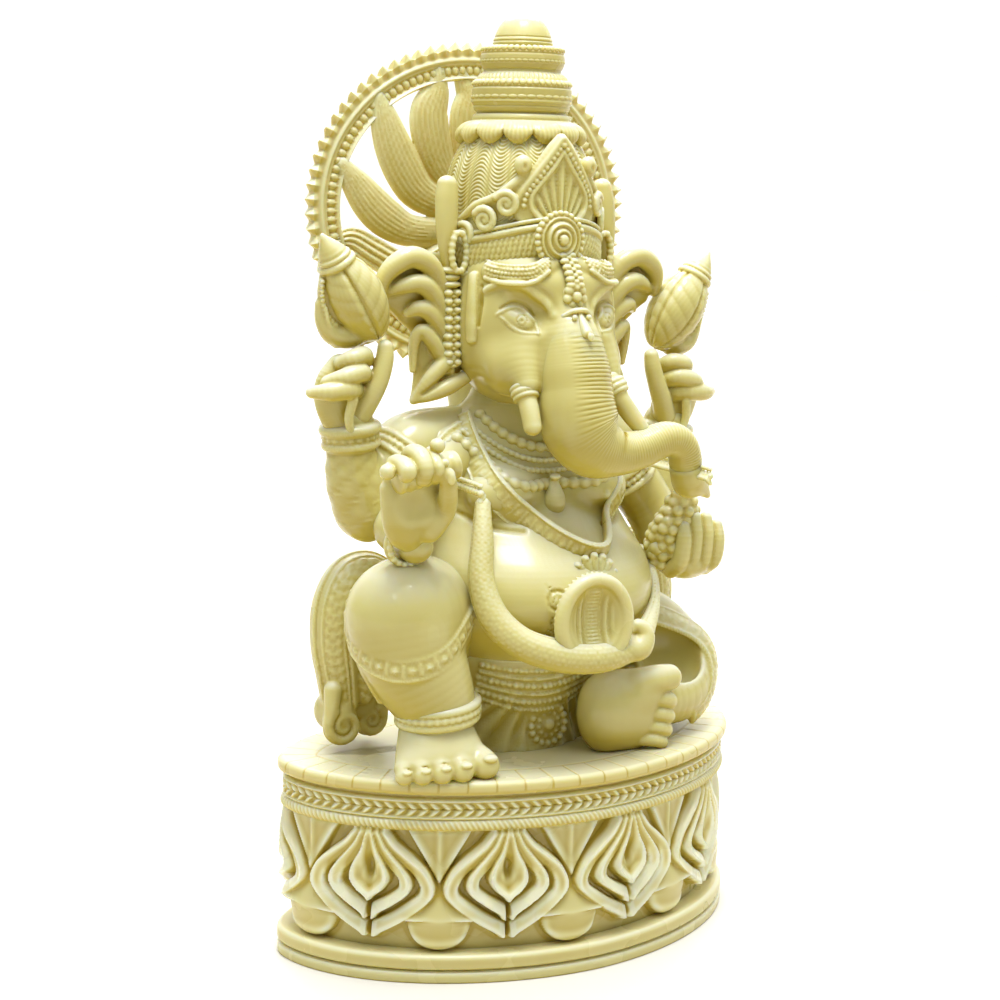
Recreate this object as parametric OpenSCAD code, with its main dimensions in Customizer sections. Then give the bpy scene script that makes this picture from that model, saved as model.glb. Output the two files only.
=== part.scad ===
// Seated four-armed elephant-headed idol on an oval lotus plinth, cast in pieces and glued together.
// Units are millimetres. +Z is up, the idol faces -Y, its right hand is on the -X side, and the origin
// is on the table under the middle of the plinth.

/* [Plinth] */
// Overall width of the plinth
plinth_w = 168; // [164:1:172]
// Depth from the widest line to the front edge
plinth_front = 59; // [57:0.5:61]
// Depth from the widest line to the back edge
plinth_back = 36.5; // [35:0.5:38]
// Height of the deck above the table
deck_z = 65; // [62:0.5:68]
// Thickness of the foot plate
foot_h = 9; // [8:0.5:10]
// Thickness of the tiled deck slab
slab_h = 4.5; // [4:0.5:5]
// Height of the braided band under the slab
braid_h = 8; // [7:0.5:9]
// Height of the rope moulding under the band
rope_h = 3.8; // [3:0.2:4.5]
// Number of large lotus petals round the drum
petal_count = 9; // [8:1:9]

/* [Figure] */
// Half width of the belly
belly_w = 42; // [40:1:44]
// Half width of the head at the temples
head_w = 27; // [26:0.5:28]
// Radius of the crown's dome
dome_r = 24.5; // [24:0.5:25]
// Radius of the trunk where it leaves the face
trunk_r = 13; // [12:0.5:14]
// Radius of a necklace bead
bead_r = 1.4; // [1.2:0.1:1.5]
// Radius of the broken tusk held in the front right hand
tusk_piece_r = 4.4; // [4:0.2:4.6]

/* [Halo] */
// Half width of the halo over its teeth
halo_w = 62; // [60:0.5:63]
// Half height of the halo over its teeth
halo_h = 55; // [53:0.5:56]
// Radial width of the halo's band, without the teeth
halo_band = 10; // [9:0.5:11]
// Thickness of the halo's band
halo_t = 5; // [4:0.5:5.5]
// Number of teeth round the halo
tooth_count = 76; // [60:2:80]

/* [Hidden] */

shade = "lemonchiffon";
// Height of the deck for which the figure's heights below are written
drawn_deck_z = 65;
lift = deck_z - drawn_deck_z;
// The line across the plinth where it is widest
seam_y = (plinth_front - plinth_back) / 2;
// Exponent of the plan's curve: 2 would be a plain ellipse, and less makes the ends sharper
plan_n = 1.86;
rope_z = deck_z - slab_h - braid_h - rope_h;
// How far the drum stands inside the slab
drum_inset = 7;
halo_y = 43;
halo_z = 238;
crown_y = 10.5;
// The idol's right rear arm is held a little higher than its left
right_raise = 3.5;
left_raise = -2;

// ---- curves and lofts ----

function plan_point(t, inset = 0) = let (c = cos(t), s = sin(t))
    [(plinth_w / 2 - inset) * sign(c) * pow(abs(c), 2 / plan_n),
     seam_y + ((s < 0 ? plinth_front : plinth_back) - inset) * sign(s) * pow(abs(s), 2 / plan_n)];

function unit(v) = v / max(norm(v), 1e-9);
function tangent(path, i) = unit(path[min(i + 1, len(path) - 1)] - path[max(i - 1, 0)]);
// A section's two half widths, from one number or a pair
function half_widths(r) = is_list(r) ? r : [r, r];
// A path with a smaller ring added beyond each end, so that the ends are rounded
function rounded_path(path, r) = let (n = len(path) - 1, a = min(half_widths(r[0])), b = min(half_widths(r[n])))
    concat([path[0] - tangent(path, 0) * a * 0.6], path, [path[n] + tangent(path, n) * b * 0.6]);
function rounded_radii(r) = concat([r[0] * 0.6], r, [r[len(r) - 1] * 0.6]);
// Extra points between the given ones, on a smooth curve through them
function between(p, i, u) = let (a = p[max(i - 1, 0)], b = p[i], c = p[i + 1], d = p[min(i + 2, len(p) - 1)])
    0.5 * (2 * b + (c - a) * u + (2 * a - 5 * b + 4 * c - d) * u * u + (3 * b - a - 3 * c + d) * u * u * u);
function smooth(p, m) = concat([for (i = [0 : len(p) - 2], k = [0 : m - 1]) between(p, i, k / m)], [p[len(p) - 1]]);

// A closed skin over rings of n points each
module skin(rings, n) {
    m = len(rings);
    sides = [for (j = [0 : m - 2], i = [0 : n - 1])
        [j * n + i, j * n + (i + 1) % n, (j + 1) * n + (i + 1) % n, (j + 1) * n + i]];
    polyhedron(
        points = [for (ring = rings, p = ring) p],
        faces = concat(
            [for (f = sides) [f[0], f[1], f[2]]],
            [for (f = sides) [f[0], f[2], f[3]]],
            [[for (i = [n - 1 : -1 : 0]) i]],
            [[for (i = [0 : n - 1]) (m - 1) * n + i]]));
}

// A tube along path. r holds a radius, or a pair of half widths, for each point, and ref sets which way is up.
module tube(path, r, n = 12, ref = [0, 0, 1]) {
    p = rounded_path(path, r);
    q = rounded_radii(r);
    skin([for (j = [0 : len(p) - 1])
        let (t = tangent(p, j), side = unit(cross(t, ref)), rise = cross(side, t), w = half_widths(q[j]))
        [for (i = [0 : n - 1]) p[j] + side * w[0] * cos(360 * i / n) + rise * w[1] * sin(360 * i / n)]], n);
}

// Level oval rings stacked up: each section is [x, y, z, half width, half depth]
module stack(sections, n = 20) {
    skin([for (s = sections)
        [for (i = [0 : n - 1]) [s[0] + s[3] * cos(360 * i / n), s[1] - s[4] * sin(360 * i / n), s[2]]]], n);
}

// An ellipsoid about c with the half widths r
module egg(c, r, n = 14, m = 8) {
    stack([for (j = [0 : m]) let (a = 12 + j * 156 / m)
        [c[0], c[1], c[2] - r[2] * cos(a) / cos(12), r[0] * sin(a), r[1] * sin(a)]], n);
}

// One casting of the figure: a single closed solid, at its height above the deck
module casting() {
    color(shade) translate([0, 0, lift]) resize([0, 0, 0]) children();
}

// The same shape on the idol's left
module mirrored() {
    mirror([1, 0, 0]) children();
}

// ---- plinth ----

module plan_slab(inset, z0, h) {
    translate([0, 0, z0]) linear_extrude(h) polygon([for (i = [0 : 95]) plan_point(i * 3.75, inset)]);
}

module plinth_foot() {
    color(shade) {
        plan_slab(0, 0, foot_h * 0.4);
        plan_slab(1.2, foot_h * 0.4, foot_h * 0.15);
        plan_slab(0, foot_h * 0.55, foot_h * 0.45);
    }
}

module plinth_drum() {
    color(shade) plan_slab(drum_inset, foot_h, rope_z - foot_h);
}

// The drum's outline as [length round it from the front, angle], for spacing the petals evenly
drum_points = [for (a = [0 : 3 : 360]) plan_point(a - 90, drum_inset)];
drum_lengths = [for (i = 0, d = 0; i <= 120; d = d + norm(drum_points[min(i + 1, 120)] - drum_points[i]), i = i + 1) [d, i * 3 - 90]];
drum_girth = drum_lengths[120][0];
// The front petal stands a little to the idol's left of the middle
petal_start = 0.033;

// A leaf-shaped boss on the drum's wall, k petals round from the front one
module petal(k, n, z, r, sides) {
    along = k / n + petal_start;
    a = lookup((along - floor(along)) * drum_girth, drum_lengths);
    p = plan_point(a, drum_inset);
    q = plan_point(a + 1, drum_inset);
    turn = atan2(q[1] - p[1], q[0] - p[0]);
    translate([p[0], p[1], z]) rotate(turn) egg([0, 0, 0], r, sides, sides / 2);
}

module petal_ring(n, z, r, shift, sides) {
    color(shade) resize([0, 0, 0]) difference() {
        for (k = [0 : n - 1]) petal(k + shift, n, z, r, sides);
        plan_slab(drum_inset, foot_h, rope_z - foot_h);
        plan_slab(0, rope_z, slab_h);
        plan_slab(0, 0, foot_h);
    }
}

module lotus_petals() {
    petal_ring(petal_count, (foot_h + rope_z) / 2 + 1, [17.5, 6, 18.5], 0, 10);
}

module lotus_tips() {
    petal_ring(petal_count, foot_h + 6, [5.5, 5, 7], 0.5, 8);
}

module rope_moulding() {
    color(shade) plan_slab(1, rope_z, rope_h);
}

module braid_band() {
    color(shade) plan_slab(1.5, rope_z + rope_h, braid_h);
}

module deck_slab() {
    color(shade) plan_slab(0, deck_z - slab_h, slab_h);
}

// ---- seat ----

module seat_shape() {
    stack([[0, 10, 65, 34, 24], [0, 9, 75, 31, 22], [0, 8, 88, 34, 26], [0, 8, 97, 36, 28], [0, 8, 104, 30, 24]]);
}

module seat_block() {
    casting() difference() {
        seat_shape();
        torso_shape();
        leg_shapes();
    }
}

// Pleated cloth hanging in front of the seat
module front_drape() {
    casting() difference() {
        stack([[-5, -2, 65, 21, 14], [-5, -2, 76, 19, 13], [-4, -4, 88, 20, 14], [-4, -5, 95, 21, 14]]);
        seat_shape();
        torso_shape();
        leg_shapes();
    }
}

module waist_belt() {
    casting() difference() {
        stack([[-4, -4, 82, 21, 15], [-4, -5, 86, 22, 16], [-4, -6, 94, 23, 16]]);
        stack([[-5, -2, 64, 21, 14], [-5, -2, 76, 19, 13], [-4, -4, 88, 20, 14], [-4, -5, 95, 21, 14]]);
        seat_shape();
        torso_shape();
        leg_shapes();
    }
}

module belt_medallion() {
    casting() translate([-2, -15.4, 72.3]) rotate([90, 0, -6]) cylinder(h = 2.4, r = 6.6, $fn = 32);
}

// Draped bolster beside the seat, ending in two scrolled feet
module volute_shape() {
    tube(smooth([[-42, 20, 114], [-49, 19, 121], [-56, 18, 121], [-62, 17, 113], [-62.5, 17, 98], [-60, 18, 80]], 2),
        [for (i = [0 : 10]) [6.5, 5.5 - i * 0.05]], 10, [0, 1, 0]);
    tube([[-51, 18, 118], [-52, 19, 98], [-53, 20, 74]], [[10, 6], [10, 6], [6, 6]], 10, [0, 1, 0]);
    tube([[-61, 10, 72], [-60, 20, 72]], [6.2, 6.2], 10);
    tube([[-47.5, 17, 71.5], [-46.5, 25, 71.5]], [5.5, 5.5], 10);
}

module volute() {
    casting() difference() {
        volute_shape();
        translate([-100, -50, 0]) cube([200, 100, 65]);
        leg_shapes();
        seat_shape();
        torso_shape();
        rear_arm_shape([0, 0, right_raise]);
        front_right_arm_shape();
    }
}

module right_volute() { volute(); }

module left_volute() {
    casting() difference() {
        mirrored() volute_shape();
        translate([-100, -50, 0]) cube([200, 100, 65]);
        leg_shapes();
        seat_shape();
        torso_shape();
        mirrored() rear_arm_shape([4, 0, left_raise]);
        front_left_arm_shape();
    }
}

// ---- body ----

module torso_shape() {
    stack([[0, 8, 93, 20, 18], [0, 4, 98, 32, 29], [0, 2, 106, belly_w * 0.94, 37], [0, 1, 116, belly_w, 39.5],
        [0, 2, 126, belly_w * 0.97, 37.5], [0, 5, 136, belly_w * 0.86, 31], [0, 9, 146, 34, 25],
        [0, 11, 156, 39, 22], [0, 12, 164, 38, 19], [0, 12, 171, 30, 16], [0, 11, 176, 18, 13], [0, 10, 183, 14, 12]], 24);
}

module torso() {
    casting() difference() {
        torso_shape();
        head_shape();
    }
}

serpent_path = smooth([[-33, -17, 138], [-36, -19, 127], [-35, -24, 114], [-27, -33, 105], [-10, -40, 100.5],
    [7, -42, 100.5], [20, -37, 104], [29, -30, 111]], 2);

module serpent_belt() {
    casting() difference() {
        tube(serpent_path, [for (i = [0 : len(serpent_path) - 1]) 3.6 + 1.8 * sin(i * 180 / (len(serpent_path) - 1))], 10);
        torso_shape();
        leg_shapes();
        seat_shape();
        front_right_arm_shape();
        serpent_hood_shape();
    }
}

module serpent_hood_shape() {
    tube([[-1, -42.5, 101], [-2, -43.5, 106], [-2.5, -43.5, 114], [-2.5, -42, 122], [-2.5, -40, 126.5]],
        [[7, 3], [11, 3.2], [12, 3.4], [10.5, 3], [6, 2.4]], 14, [0, -1, 0]);
}

module serpent_hood() {
    casting() difference() {
        serpent_hood_shape();
        torso_shape();
    }
}

module hood_fan() {
    casting() difference() {
        for (a = [-60 : 24 : 60])
            tube([[-2, -37.5, 124], [-2 + 9 * sin(a), -36.5 + 1.5 * cos(a), 124 + 9 * cos(a)]],
                [[1.4, 1.6], [2.1, 1.6]], 6, [0, 1, 0]);
        torso_shape();
        serpent_hood_shape();
    }
}

bib_path = smooth([[-28, 2, 172], [-29, -10, 161], [-23, -22, 147], [-11, -32.5, 137], [2, -37, 133.5],
    [14, -33, 137], [23, -21, 149], [28, -10, 161], [27, 2, 172]], 2);

module chest_bib() {
    casting() difference() {
        tube(bib_path, [for (p = bib_path) [2.4, 5]], 8, [0, 0.8, 0.6]);
        torso_shape();
    }
}

// Beads along a sagging line on the chest: half width w, from height z0 at the neck down to z1 at depth y1 in front
module strand(w, z0, z1, y1, n) {
    for (i = [0 : n - 1]) let (a = -80 + 160 * i / (n - 1))
        egg([w * sin(a), 8 - (8 - y1) * cos(a), z1 + (z0 - z1) * (1 - cos(a))], bead_r * [1, 1, 1], 6, 2);
}

module necklace_beads() {
    casting() difference() {
        union() {
            strand(25, 179, 160, -16.5, 21);
            strand(31, 174, 152.5, -23.5, 27);
        }
        torso_shape();
    }
}

module pendant() {
    casting() difference() {
        egg([-1, -30, 147], [4, 3, 5.2], 10, 6);
        torso_shape();
    }
}

// ---- legs ----

module right_leg_shape() {
    tube([[-22, 12, 102], [-34, 2, 108], [-46, -8, 113], [-53.5, -13, 113.5]], [15, 17, 18.5, 17.5], 18);
    tube([[-54, -13, 113], [-52, -15, 103], [-47.5, -17, 93], [-43.5, -18.5, 84], [-43, -19, 78]],
        [18, 17, 15, 12.5, 10.5], 18, [0, 1, 0]);
}

module left_leg_shape() {
    tube([[22, 12, 99], [38, 8, 99], [52, 4, 94], [57, -4, 87]], [15, 16.5, 15.5, 13], 16);
    tube([[57, -5, 84], [51, -16, 80], [40, -20, 79]], [13.5, 12, 9.5], 14);
}

module leg_shapes() {
    right_leg_shape();
    left_leg_shape();
}

module right_leg() {
    casting() difference() {
        right_leg_shape();
        torso_shape();
        translate([-100, -50, 0]) cube([200, 100, 81]);
        anklet_room();
    }
}

module foot_shape() {
    tube([[-45, -13, 75], [-45.5, -19, 74], [-46.5, -25, 71], [-47, -29, 69]], [[10, 10], [12, 9.5], [14, 6.5], [14, 4.5]], 14);
    for (i = [0 : 4])
        tube([[-36.5 - i * 5.6, -29 + i * 0.7, 69 - i * 0.6], [-36.3 - i * 5.8, -34 + i * 1.3, 67.6 - i * 0.4]],
            [3.9 - i * 0.3, 3.9 - i * 0.3], 7);
}

// Keeps the leg inside the ankle ring's hole
module anklet_room() {
    difference() {
        translate([-43.8, -18.6, 78]) cylinder(h = 8.5, r = 22, $fn = 24);
        translate([-43.8, -18.6, 77]) cylinder(h = 11, r = 11, $fn = 24);
    }
}

module right_foot() {
    casting() difference() {
        foot_shape();
        translate([-100, -60, 55]) cube([200, 110, 10]);
        translate([-100, -60, 81]) cube([200, 110, 20]);
    }
}

// The ankle ring: the lower end of the leg rests in it, and the foot fits under it
module right_anklet() {
    color(shade) translate([-43.8, -18.6, 81.2 + lift]) rotate_extrude($fn = 36) translate([9.2, 0]) difference() {
        translate([3, 2.3]) circle(2.6, $fn = 16);
        translate([-3, -2]) square([5, 9]);
    }
}

module left_leg() {
    casting() difference() {
        left_leg_shape();
        torso_shape();
        translate([-100, -50, 0]) cube([200, 100, 65]);
        left_foot_shape();
    }
}

module left_foot_shape() {
    tube([[13, -25, 76], [19, -26.5, 77], [28, -28, 79], [36, -28, 81]], [[7.5, 9], [8, 11.5], [7, 13], [5, 13.5]], 14);
    egg([38.5, -28, 91], [5, 4.6, 4.8], 10, 4);
    for (i = [0 : 3]) egg([40.5 - i * 1.2, -27.5, 83.5 - i * 4.8], [4.6 - i * 0.3, 4, 2.9 - i * 0.15], 8, 4);
}

module left_foot() {
    casting() difference() {
        left_foot_shape();
        translate([-100, -60, 45]) cube([200, 110, 20]);
    }
}

// ---- head ----

module head_shape() {
    stack([[0, 2, 177.5, 12, 12], [0, 0, 182, 20, 19], [0, -1, 190, 25, 23], [0, 0, 200, head_w, 24],
        [0, 1, 210, head_w - 0.5, 24], [0, 2, 218, 25.5, 23.5], [0, 6, 225, 23, 20]], 22);
    for (s = [-1, 1]) egg([s * 10, -15, 216], [10, 7, 6.5], 10, 6);
    for (s = [-1, 1]) tube([[s * 13, -14, 195], [s * 16.5, -21, 184.5]], [8, 5.5], 10);
}

module trunk_shape() {
    path = smooth([[0, -14, 207], [0, -22, 196], [0, -27, 184], [0, -30, 174.5], [4, -32.5, 167], [15, -34.5, 164.5],
        [28, -34.5, 166], [38, -33, 165], [45.5, -29, 157.5], [49.5, -24, 147]], 2);
    radii = [9, trunk_r, trunk_r + 0.6, trunk_r - 0.4, trunk_r - 2, trunk_r - 4, 7, 6.5, 6, 5.2];
    // one radius for each point that smooth() makes
    r = [for (i = [0 : len(path) - 1]) let (k = i / 2) (radii[floor(k)] + radii[ceil(k)]) / 2];
    tube(path, r, 14, [0, -0.9, -0.4]);
}

module head() {
    casting() difference() {
        head_shape();
        trunk_shape();
        crown_solid();
        tusk_shape();
        mirrored() tusk_shape();
    }
}

module trunk() {
    casting() difference() {
        trunk_shape();
        jewel_shape();
    }
}

module tusk_shape() {
    tube([[-15, -19, 185], [-17.7, -24.5, 179], [-19.3, -28, 173]], [3.6, 3.9, 3.4], 10);
}

module tusk() {
    difference() {
        tusk_shape();
        trunk_shape();
    }
}

module right_tusk() { casting() tusk(); }

module left_tusk() { casting() mirrored() tusk(); }

module jewel_shape() {
    tube([[0, -23, 225], [0, -26.5, 219], [0, -26, 214]], [[2.6, 2], [3.4, 2.4], [3, 2.4]], 10, [0, 1, 0]);
    for (s = [-1, 1]) egg([s * 3.4, -26.5, 213], [2, 2, 2], 8, 4);
}

module forehead_jewel() {
    casting() difference() {
        jewel_shape();
        head_shape();
        crown_solid();
    }
}

module ear_shape() {
    tube([[-24, 11, 204], [-34, 11, 206], [-43, 10, 204], [-50, 8, 206]], [[3.5, 15], [3.2, 18], [3, 16], [2.4, 8]], 12, [0, 0, 1]);
    tube([[-34, 10, 196], [-39, 9, 184], [-38, 8, 178]], [[8, 3], [6, 2.8], [3.5, 2]], 10, [0, 1, 0]);
    tube([[-26, 7, 214], [-37, 6, 221], [-46, 5, 219], [-51, 5, 211]], [3.2, 3.2, 3, 2.4], 8, [0, 1, 0]);
}

module ear() {
    difference() {
        ear_shape();
        head_shape();
        crown_solid();
        tassel_shape();
        conch_shape([0, 0, right_raise]);
        torso_shape();
        rear_arm_shape([0, 0, 0]);
    }
}

module right_ear() { casting() ear(); }

module left_ear() { casting() mirrored() ear(); }

module tassel_shape() {
    tube([[-29, 5, 250], [-29.5, 4.5, 240], [-29.5, 4, 229]], [2.6, 3.6, 4], 10, [0, 1, 0]);
    tube([[-29.5, 4, 224], [-29, 4, 208], [-28, 4, 188]], [3.6, 3.2, 3.2], 10, [0, 1, 0]);
}

module tassel() {
    difference() {
        tassel_shape();
        head_shape();
        crown_solid();
    }
}

module right_tassel() { casting() tassel(); }

module left_tassel() { casting() mirrored() tassel(); }

// ---- crown ----

module crown_band_shape() {
    stack([[0, 7, 221, 25.5, 23], [0, 8, 223, 26.8, 24], [0, 9, 229, 26.5, 24], [0, 9.5, 234, 25, 23.5]], 26);
}

module crown_dome_shape() {
    stack([[0, 10, 233, dome_r, dome_r - 1], [0, 10, 242, dome_r, dome_r - 1], [0, 10.5, 251, dome_r - 2, dome_r - 2],
        [0, 10.5, 258, dome_r - 6, dome_r - 6], [0, 10.5, 262, dome_r - 9, dome_r - 9]], 26);
}

module crown_solid() {
    crown_band_shape();
    crown_dome_shape();
}

module crown_band() {
    casting() crown_band_shape();
}

module crown_dome() {
    casting() difference() {
        crown_dome_shape();
        crown_band_shape();
    }
}

module plaque_shape() {
    tube([[0, -14, 232], [0, -15, 243], [0, -14.5, 252], [0, -13.5, 260]],
        [[13, 3.6], [13.5, 3.6], [8, 3], [2, 2.2]], 12, [0, 1, 0]);
}

module crown_plaque() {
    casting() difference() {
        plaque_shape();
        crown_solid();
    }
}

module crown_medallion() {
    casting() difference() {
        translate([-1, -12, 230.5]) rotate([86, 0, 0]) cylinder(h = 6.6, r = 7.4, $fn = 32);
        crown_solid();
        plaque_shape();
        jewel_shape();
    }
}

module collar_profile() {
    polygon([[0, 0], [19, 0], [20.5, 2], [18, 5], [16.5, 6.5], [0, 6.5]]);
}

// A shallow spigot under each crown piece drops into a socket in the piece below
spigot_r = 5;
spigot_h = 3;
spigot_gap = 0.1;

module crown_collar() {
    color(shade) translate([0, crown_y, 262 + lift]) difference() {
        rotate_extrude($fn = 48) collar_profile();
        translate([0, 0, 6.5 - spigot_h]) cylinder(h = spigot_h + 1, r = spigot_r + spigot_gap, $fn = 32);
    }
}

module crown_tiers() {
    color(shade) translate([0, crown_y, 268.5 + lift]) difference() {
        union() {
            rotate_extrude($fn = 48) polygon([[0, 0], [14.6, 0], [14.6, 2], [15.9, 3.5], [16.3, 9], [15, 11], [12.6, 12.5],
                [13, 13.5], [13.7, 15], [13.7, 19.5], [12.4, 21.5], [0, 21.5]]);
            translate([0, 0, -spigot_h + 0.3]) cylinder(h = spigot_h, r = spigot_r, $fn = 32);
        }
        translate([0, 0, 21.5 - spigot_h]) cylinder(h = spigot_h + 1, r = spigot_r + spigot_gap, $fn = 32);
    }
}

module crown_cap() {
    color(shade) translate([0, crown_y, 290 + lift]) {
        rotate_extrude($fn = 48) polygon([[0, 0], [9.8, 0], [9.4, 1.6], [8, 5], [5.8, 8], [3.4, 9.6], [1.6, 10], [0, 10]]);
        translate([0, 0, -spigot_h + 0.3]) cylinder(h = spigot_h, r = spigot_r, $fn = 32);
    }
}

// ---- halo ----

function ring_point(a, inset) = [(halo_w - inset) * cos(a), (halo_h - inset) * sin(a)];
tooth_h = 3.6;

module ring_plate(outer, inner, t) {
    translate([0, halo_y + t / 2, halo_z + lift]) rotate([90, 0, 0]) linear_extrude(t) difference() {
        polygon([for (i = [0 : 89]) ring_point(i * 4, outer)]);
        polygon([for (i = [0 : 89]) ring_point(i * 4, inner)]);
    }
}

module halo_ring() {
    color(shade) ring_plate(tooth_h, tooth_h + halo_band, halo_t);
}

module halo_teeth() {
    color(shade) translate([0, halo_y + halo_t * 0.4, halo_z + lift]) rotate([90, 0, 0]) linear_extrude(halo_t * 0.8)
        difference() {
            polygon([for (i = [0 : 2 * tooth_count - 1]) ring_point(i * 180 / tooth_count, i % 2 == 0 ? 0 : tooth_h * 0.6)]);
            polygon([for (i = [0 : 89]) ring_point(i * 4, tooth_h)]);
        }
}

// One curled leaf of the fan, at the angle a from the middle of the halo
module fan_leaf(a) {
    s = cos(a) < 0 ? -1 : 1;
    q = ring_point(a, tooth_h + halo_band + 0.8);
    m = ring_point(a - s * 14, halo_w * 0.52);
    b = ring_point(a - s * 34, halo_w * 0.8);
    tube([[b[0], halo_y - 2, halo_z + b[1]], [m[0], halo_y - 1, halo_z + m[1]],
        [0.3 * m[0] + 0.7 * q[0], halo_y, halo_z + 0.3 * m[1] + 0.7 * q[1]], [q[0], halo_y, halo_z + q[1]]],
        [[4, 2], [8, 2.4], [6, 2.2], [2, 1.8]], 6, [0, 1, 0]);
}

fan_angles = [for (k = [0 : 9]) -18 + 24 * k];

module halo_fan() {
    casting() {
        difference() {
            union() {
                for (a = fan_angles) fan_leaf(a);
                translate([0, halo_y + 2, halo_z]) rotate([90, 0, 0]) cylinder(h = 5, r = 17, $fn = 24);
            }
            translate([0, 0, -lift]) ring_plate(tooth_h, tooth_h + halo_band, halo_t + 4);
            crown_solid();
        }
    }
}

// Web that joins the halo to the idol's shoulders and head
module halo_stem() {
    casting() difference() {
        union() {
            tube([[0, 40, 228], [0, 38, 210], [0, 36, 190], [0, 30, 172], [0, 22, 158]],
                [[9, 5], [10, 6], [12, 7], [12, 8], [12, 8]], 12, [0, 1, 0]);
            tube([[0, 20, 205], [0, 38, 205]], [[12, 10], [10, 9]], 12);
        }
        torso_shape();
        head_shape();
        crown_solid();
        translate([0, 0, -lift]) ring_plate(0, tooth_h + halo_band, halo_t);
        translate([0, halo_y + 2, halo_z]) rotate([90, 0, 0]) cylinder(h = 5, r = 17, $fn = 24);
        for (a = fan_angles) fan_leaf(a);
    }
}

// ---- arms ----

// The right rear arm, with its wrist moved by v from the drawn place
module rear_arm_shape(v) {
    tube([[-24, 14, 164], [-38, 13, 161], [-49, 11, 152], [-54.5, 9, 144]], [12, 12.5, 11.5, 10], 14);
    tube([[-55, 9, 144], [-60, 8, 152], [-62.5, 7, 160] + v], [10, 9.4, 7.6], 12, [0, 1, 0]);
    tube([[-63, 6.5, 166] + v, [-63.5, 6, 169.5] + v], [9, 8.8], 12, [0, 1, 0]);
}

module rear_right_arm() {
    casting() difference() {
        rear_arm_shape([0, 0, right_raise]);
        torso_shape();
        front_right_arm_shape();
    }
}

module rear_left_arm() {
    casting() difference() {
        mirrored() rear_arm_shape([4, 0, left_raise]);
        torso_shape();
        front_left_arm_shape();
    }
}

// The right rear hand, with its fingertips under the shell
module hand_shape(v) {
    translate(v) {
        tube([[-64, 5.5, 170], [-65, 4, 178], [-64.5, 3.5, 187]], [[6, 4.8], [8.6, 5], [8, 4.4]], 12, [0, 1, 0]);
        tube([[-60, 1, 176], [-56.5, -1, 184], [-56, -1, 195]], [3, 2.9, 2.4], 8, [0, 1, 0]);
        for (i = [0 : 2])
            tube([[-66 - i * 2.8, 3.5, 191 - i * 4.4], [-67 - i * 2.8, -4.5, 190 - i * 4.4], [-65.5 - i * 2.8, -5.2, 185 - i * 4]],
                [2.8, 2.9, 2.6], 6, [1, 0, 0]);
    }
}

module rear_right_hand() {
    casting() difference() {
        hand_shape([0, 0, right_raise]);
        rear_arm_shape([0, 0, right_raise]);
        conch_shape([0, 0, right_raise]);
    }
}

module rear_left_hand() {
    casting() difference() {
        mirrored() hand_shape([6, 0, left_raise]);
        mirrored() rear_arm_shape([4, 0, left_raise]);
        mirrored() conch_shape([2, 0, left_raise]);
    }
}

// Whorled shell held on the fingertips, with its lip curling out at the side
module conch_shape(v) {
    translate(v) {
        tube([[-58, 5.5, 198], [-61.5, 5.2, 203], [-65, 5, 209], [-68.5, 4.5, 215], [-70.5, 4.2, 218]],
            [[6.5, 6.5], [10.4, 10.2], [11.4, 11], [9, 9], [6, 6]], 12, [0, 1, 0]);
        tube([[-70.2, 4.2, 217.5], [-72, 4, 220.5], [-75.3, 3.5, 226]], [7.2, 6.4, 1.2], 10, [0, 1, 0]);
        tube([[-73, 3.5, 212], [-76.5, 3, 207], [-75, 3, 201], [-69, 3, 199.5]], [2.8, 3.2, 3.6, 4], 8, [0, 1, 0]);
    }
}

module right_conch() { casting() conch_shape([0, 0, right_raise]); }

module left_conch() { casting() mirrored() conch_shape([2, 0, left_raise]); }

module front_right_arm_shape() {
    tube([[-31, 4, 158], [-40, 1, 152], [-47, -1, 145], [-51, -4, 139]], [9.5, 9, 8, 7.4], 12);
    tube([[-51, -4, 139], [-52, -12, 137.5], [-53, -19, 137]], [7.4, 6.4, 5.4], 12);
}

module front_right_arm() {
    casting() difference() {
        front_right_arm_shape();
        torso_shape();
        right_leg_shape();
    }
}

module front_right_hand() {
    casting() difference() {
        union() {
            tube([[-54.5, -21.5, 137], [-55, -24, 143], [-56.5, -25, 151], [-57.5, -25, 159]],
                [[5.4, 5], [8.6, 4.6], [10.4, 4.4], [10, 3.6]], 12, [0, 1, 0]);
            for (i = [0 : 3])
                tube([[-50.5 - i * 4.9, -25, 163 - i * 0.3], [-50.8 - i * 4.9, -28.5, 169 - i * 1.1],
                    [-51 - i * 4.9, -34, 167.5 - i * 1.1], [-51 - i * 4.9, -35, 162.5 - i * 0.8]],
                    [2.6, 2.8, 2.7, 2.4], 6, [1, 0, 0]);
            tube([[-49.5, -25, 145], [-46, -29, 151], [-46.5, -33.5, 157], [-48.5, -35, 161]], [3.4, 2.9, 2.6, 2.3], 8, [1, 0, 0]);
        }
        front_right_arm_shape();
        right_leg_shape();
        tusk_piece_shape();
    }
}

module tusk_piece_shape() {
    translate([-45, -29.8, 163.2]) rotate([0, -100, 0]) cylinder(h = 23, r = tusk_piece_r, $fn = 32);
}

module tusk_piece() {
    color(shade) translate([0, 0, lift]) tusk_piece_shape();
}

module front_left_arm_shape() {
    tube([[31, 4, 158], [42, 4, 150], [50, 2, 139], [53, -2, 131]], [9, 9, 8.5, 8], 14);
    tube([[53, -1, 130], [52, -6, 127.5], [51, -10, 126.5]], [8, 7.2, 6.2], 12);
}

module front_left_arm() {
    casting() difference() {
        front_left_arm_shape();
        torso_shape();
    }
}

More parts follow.
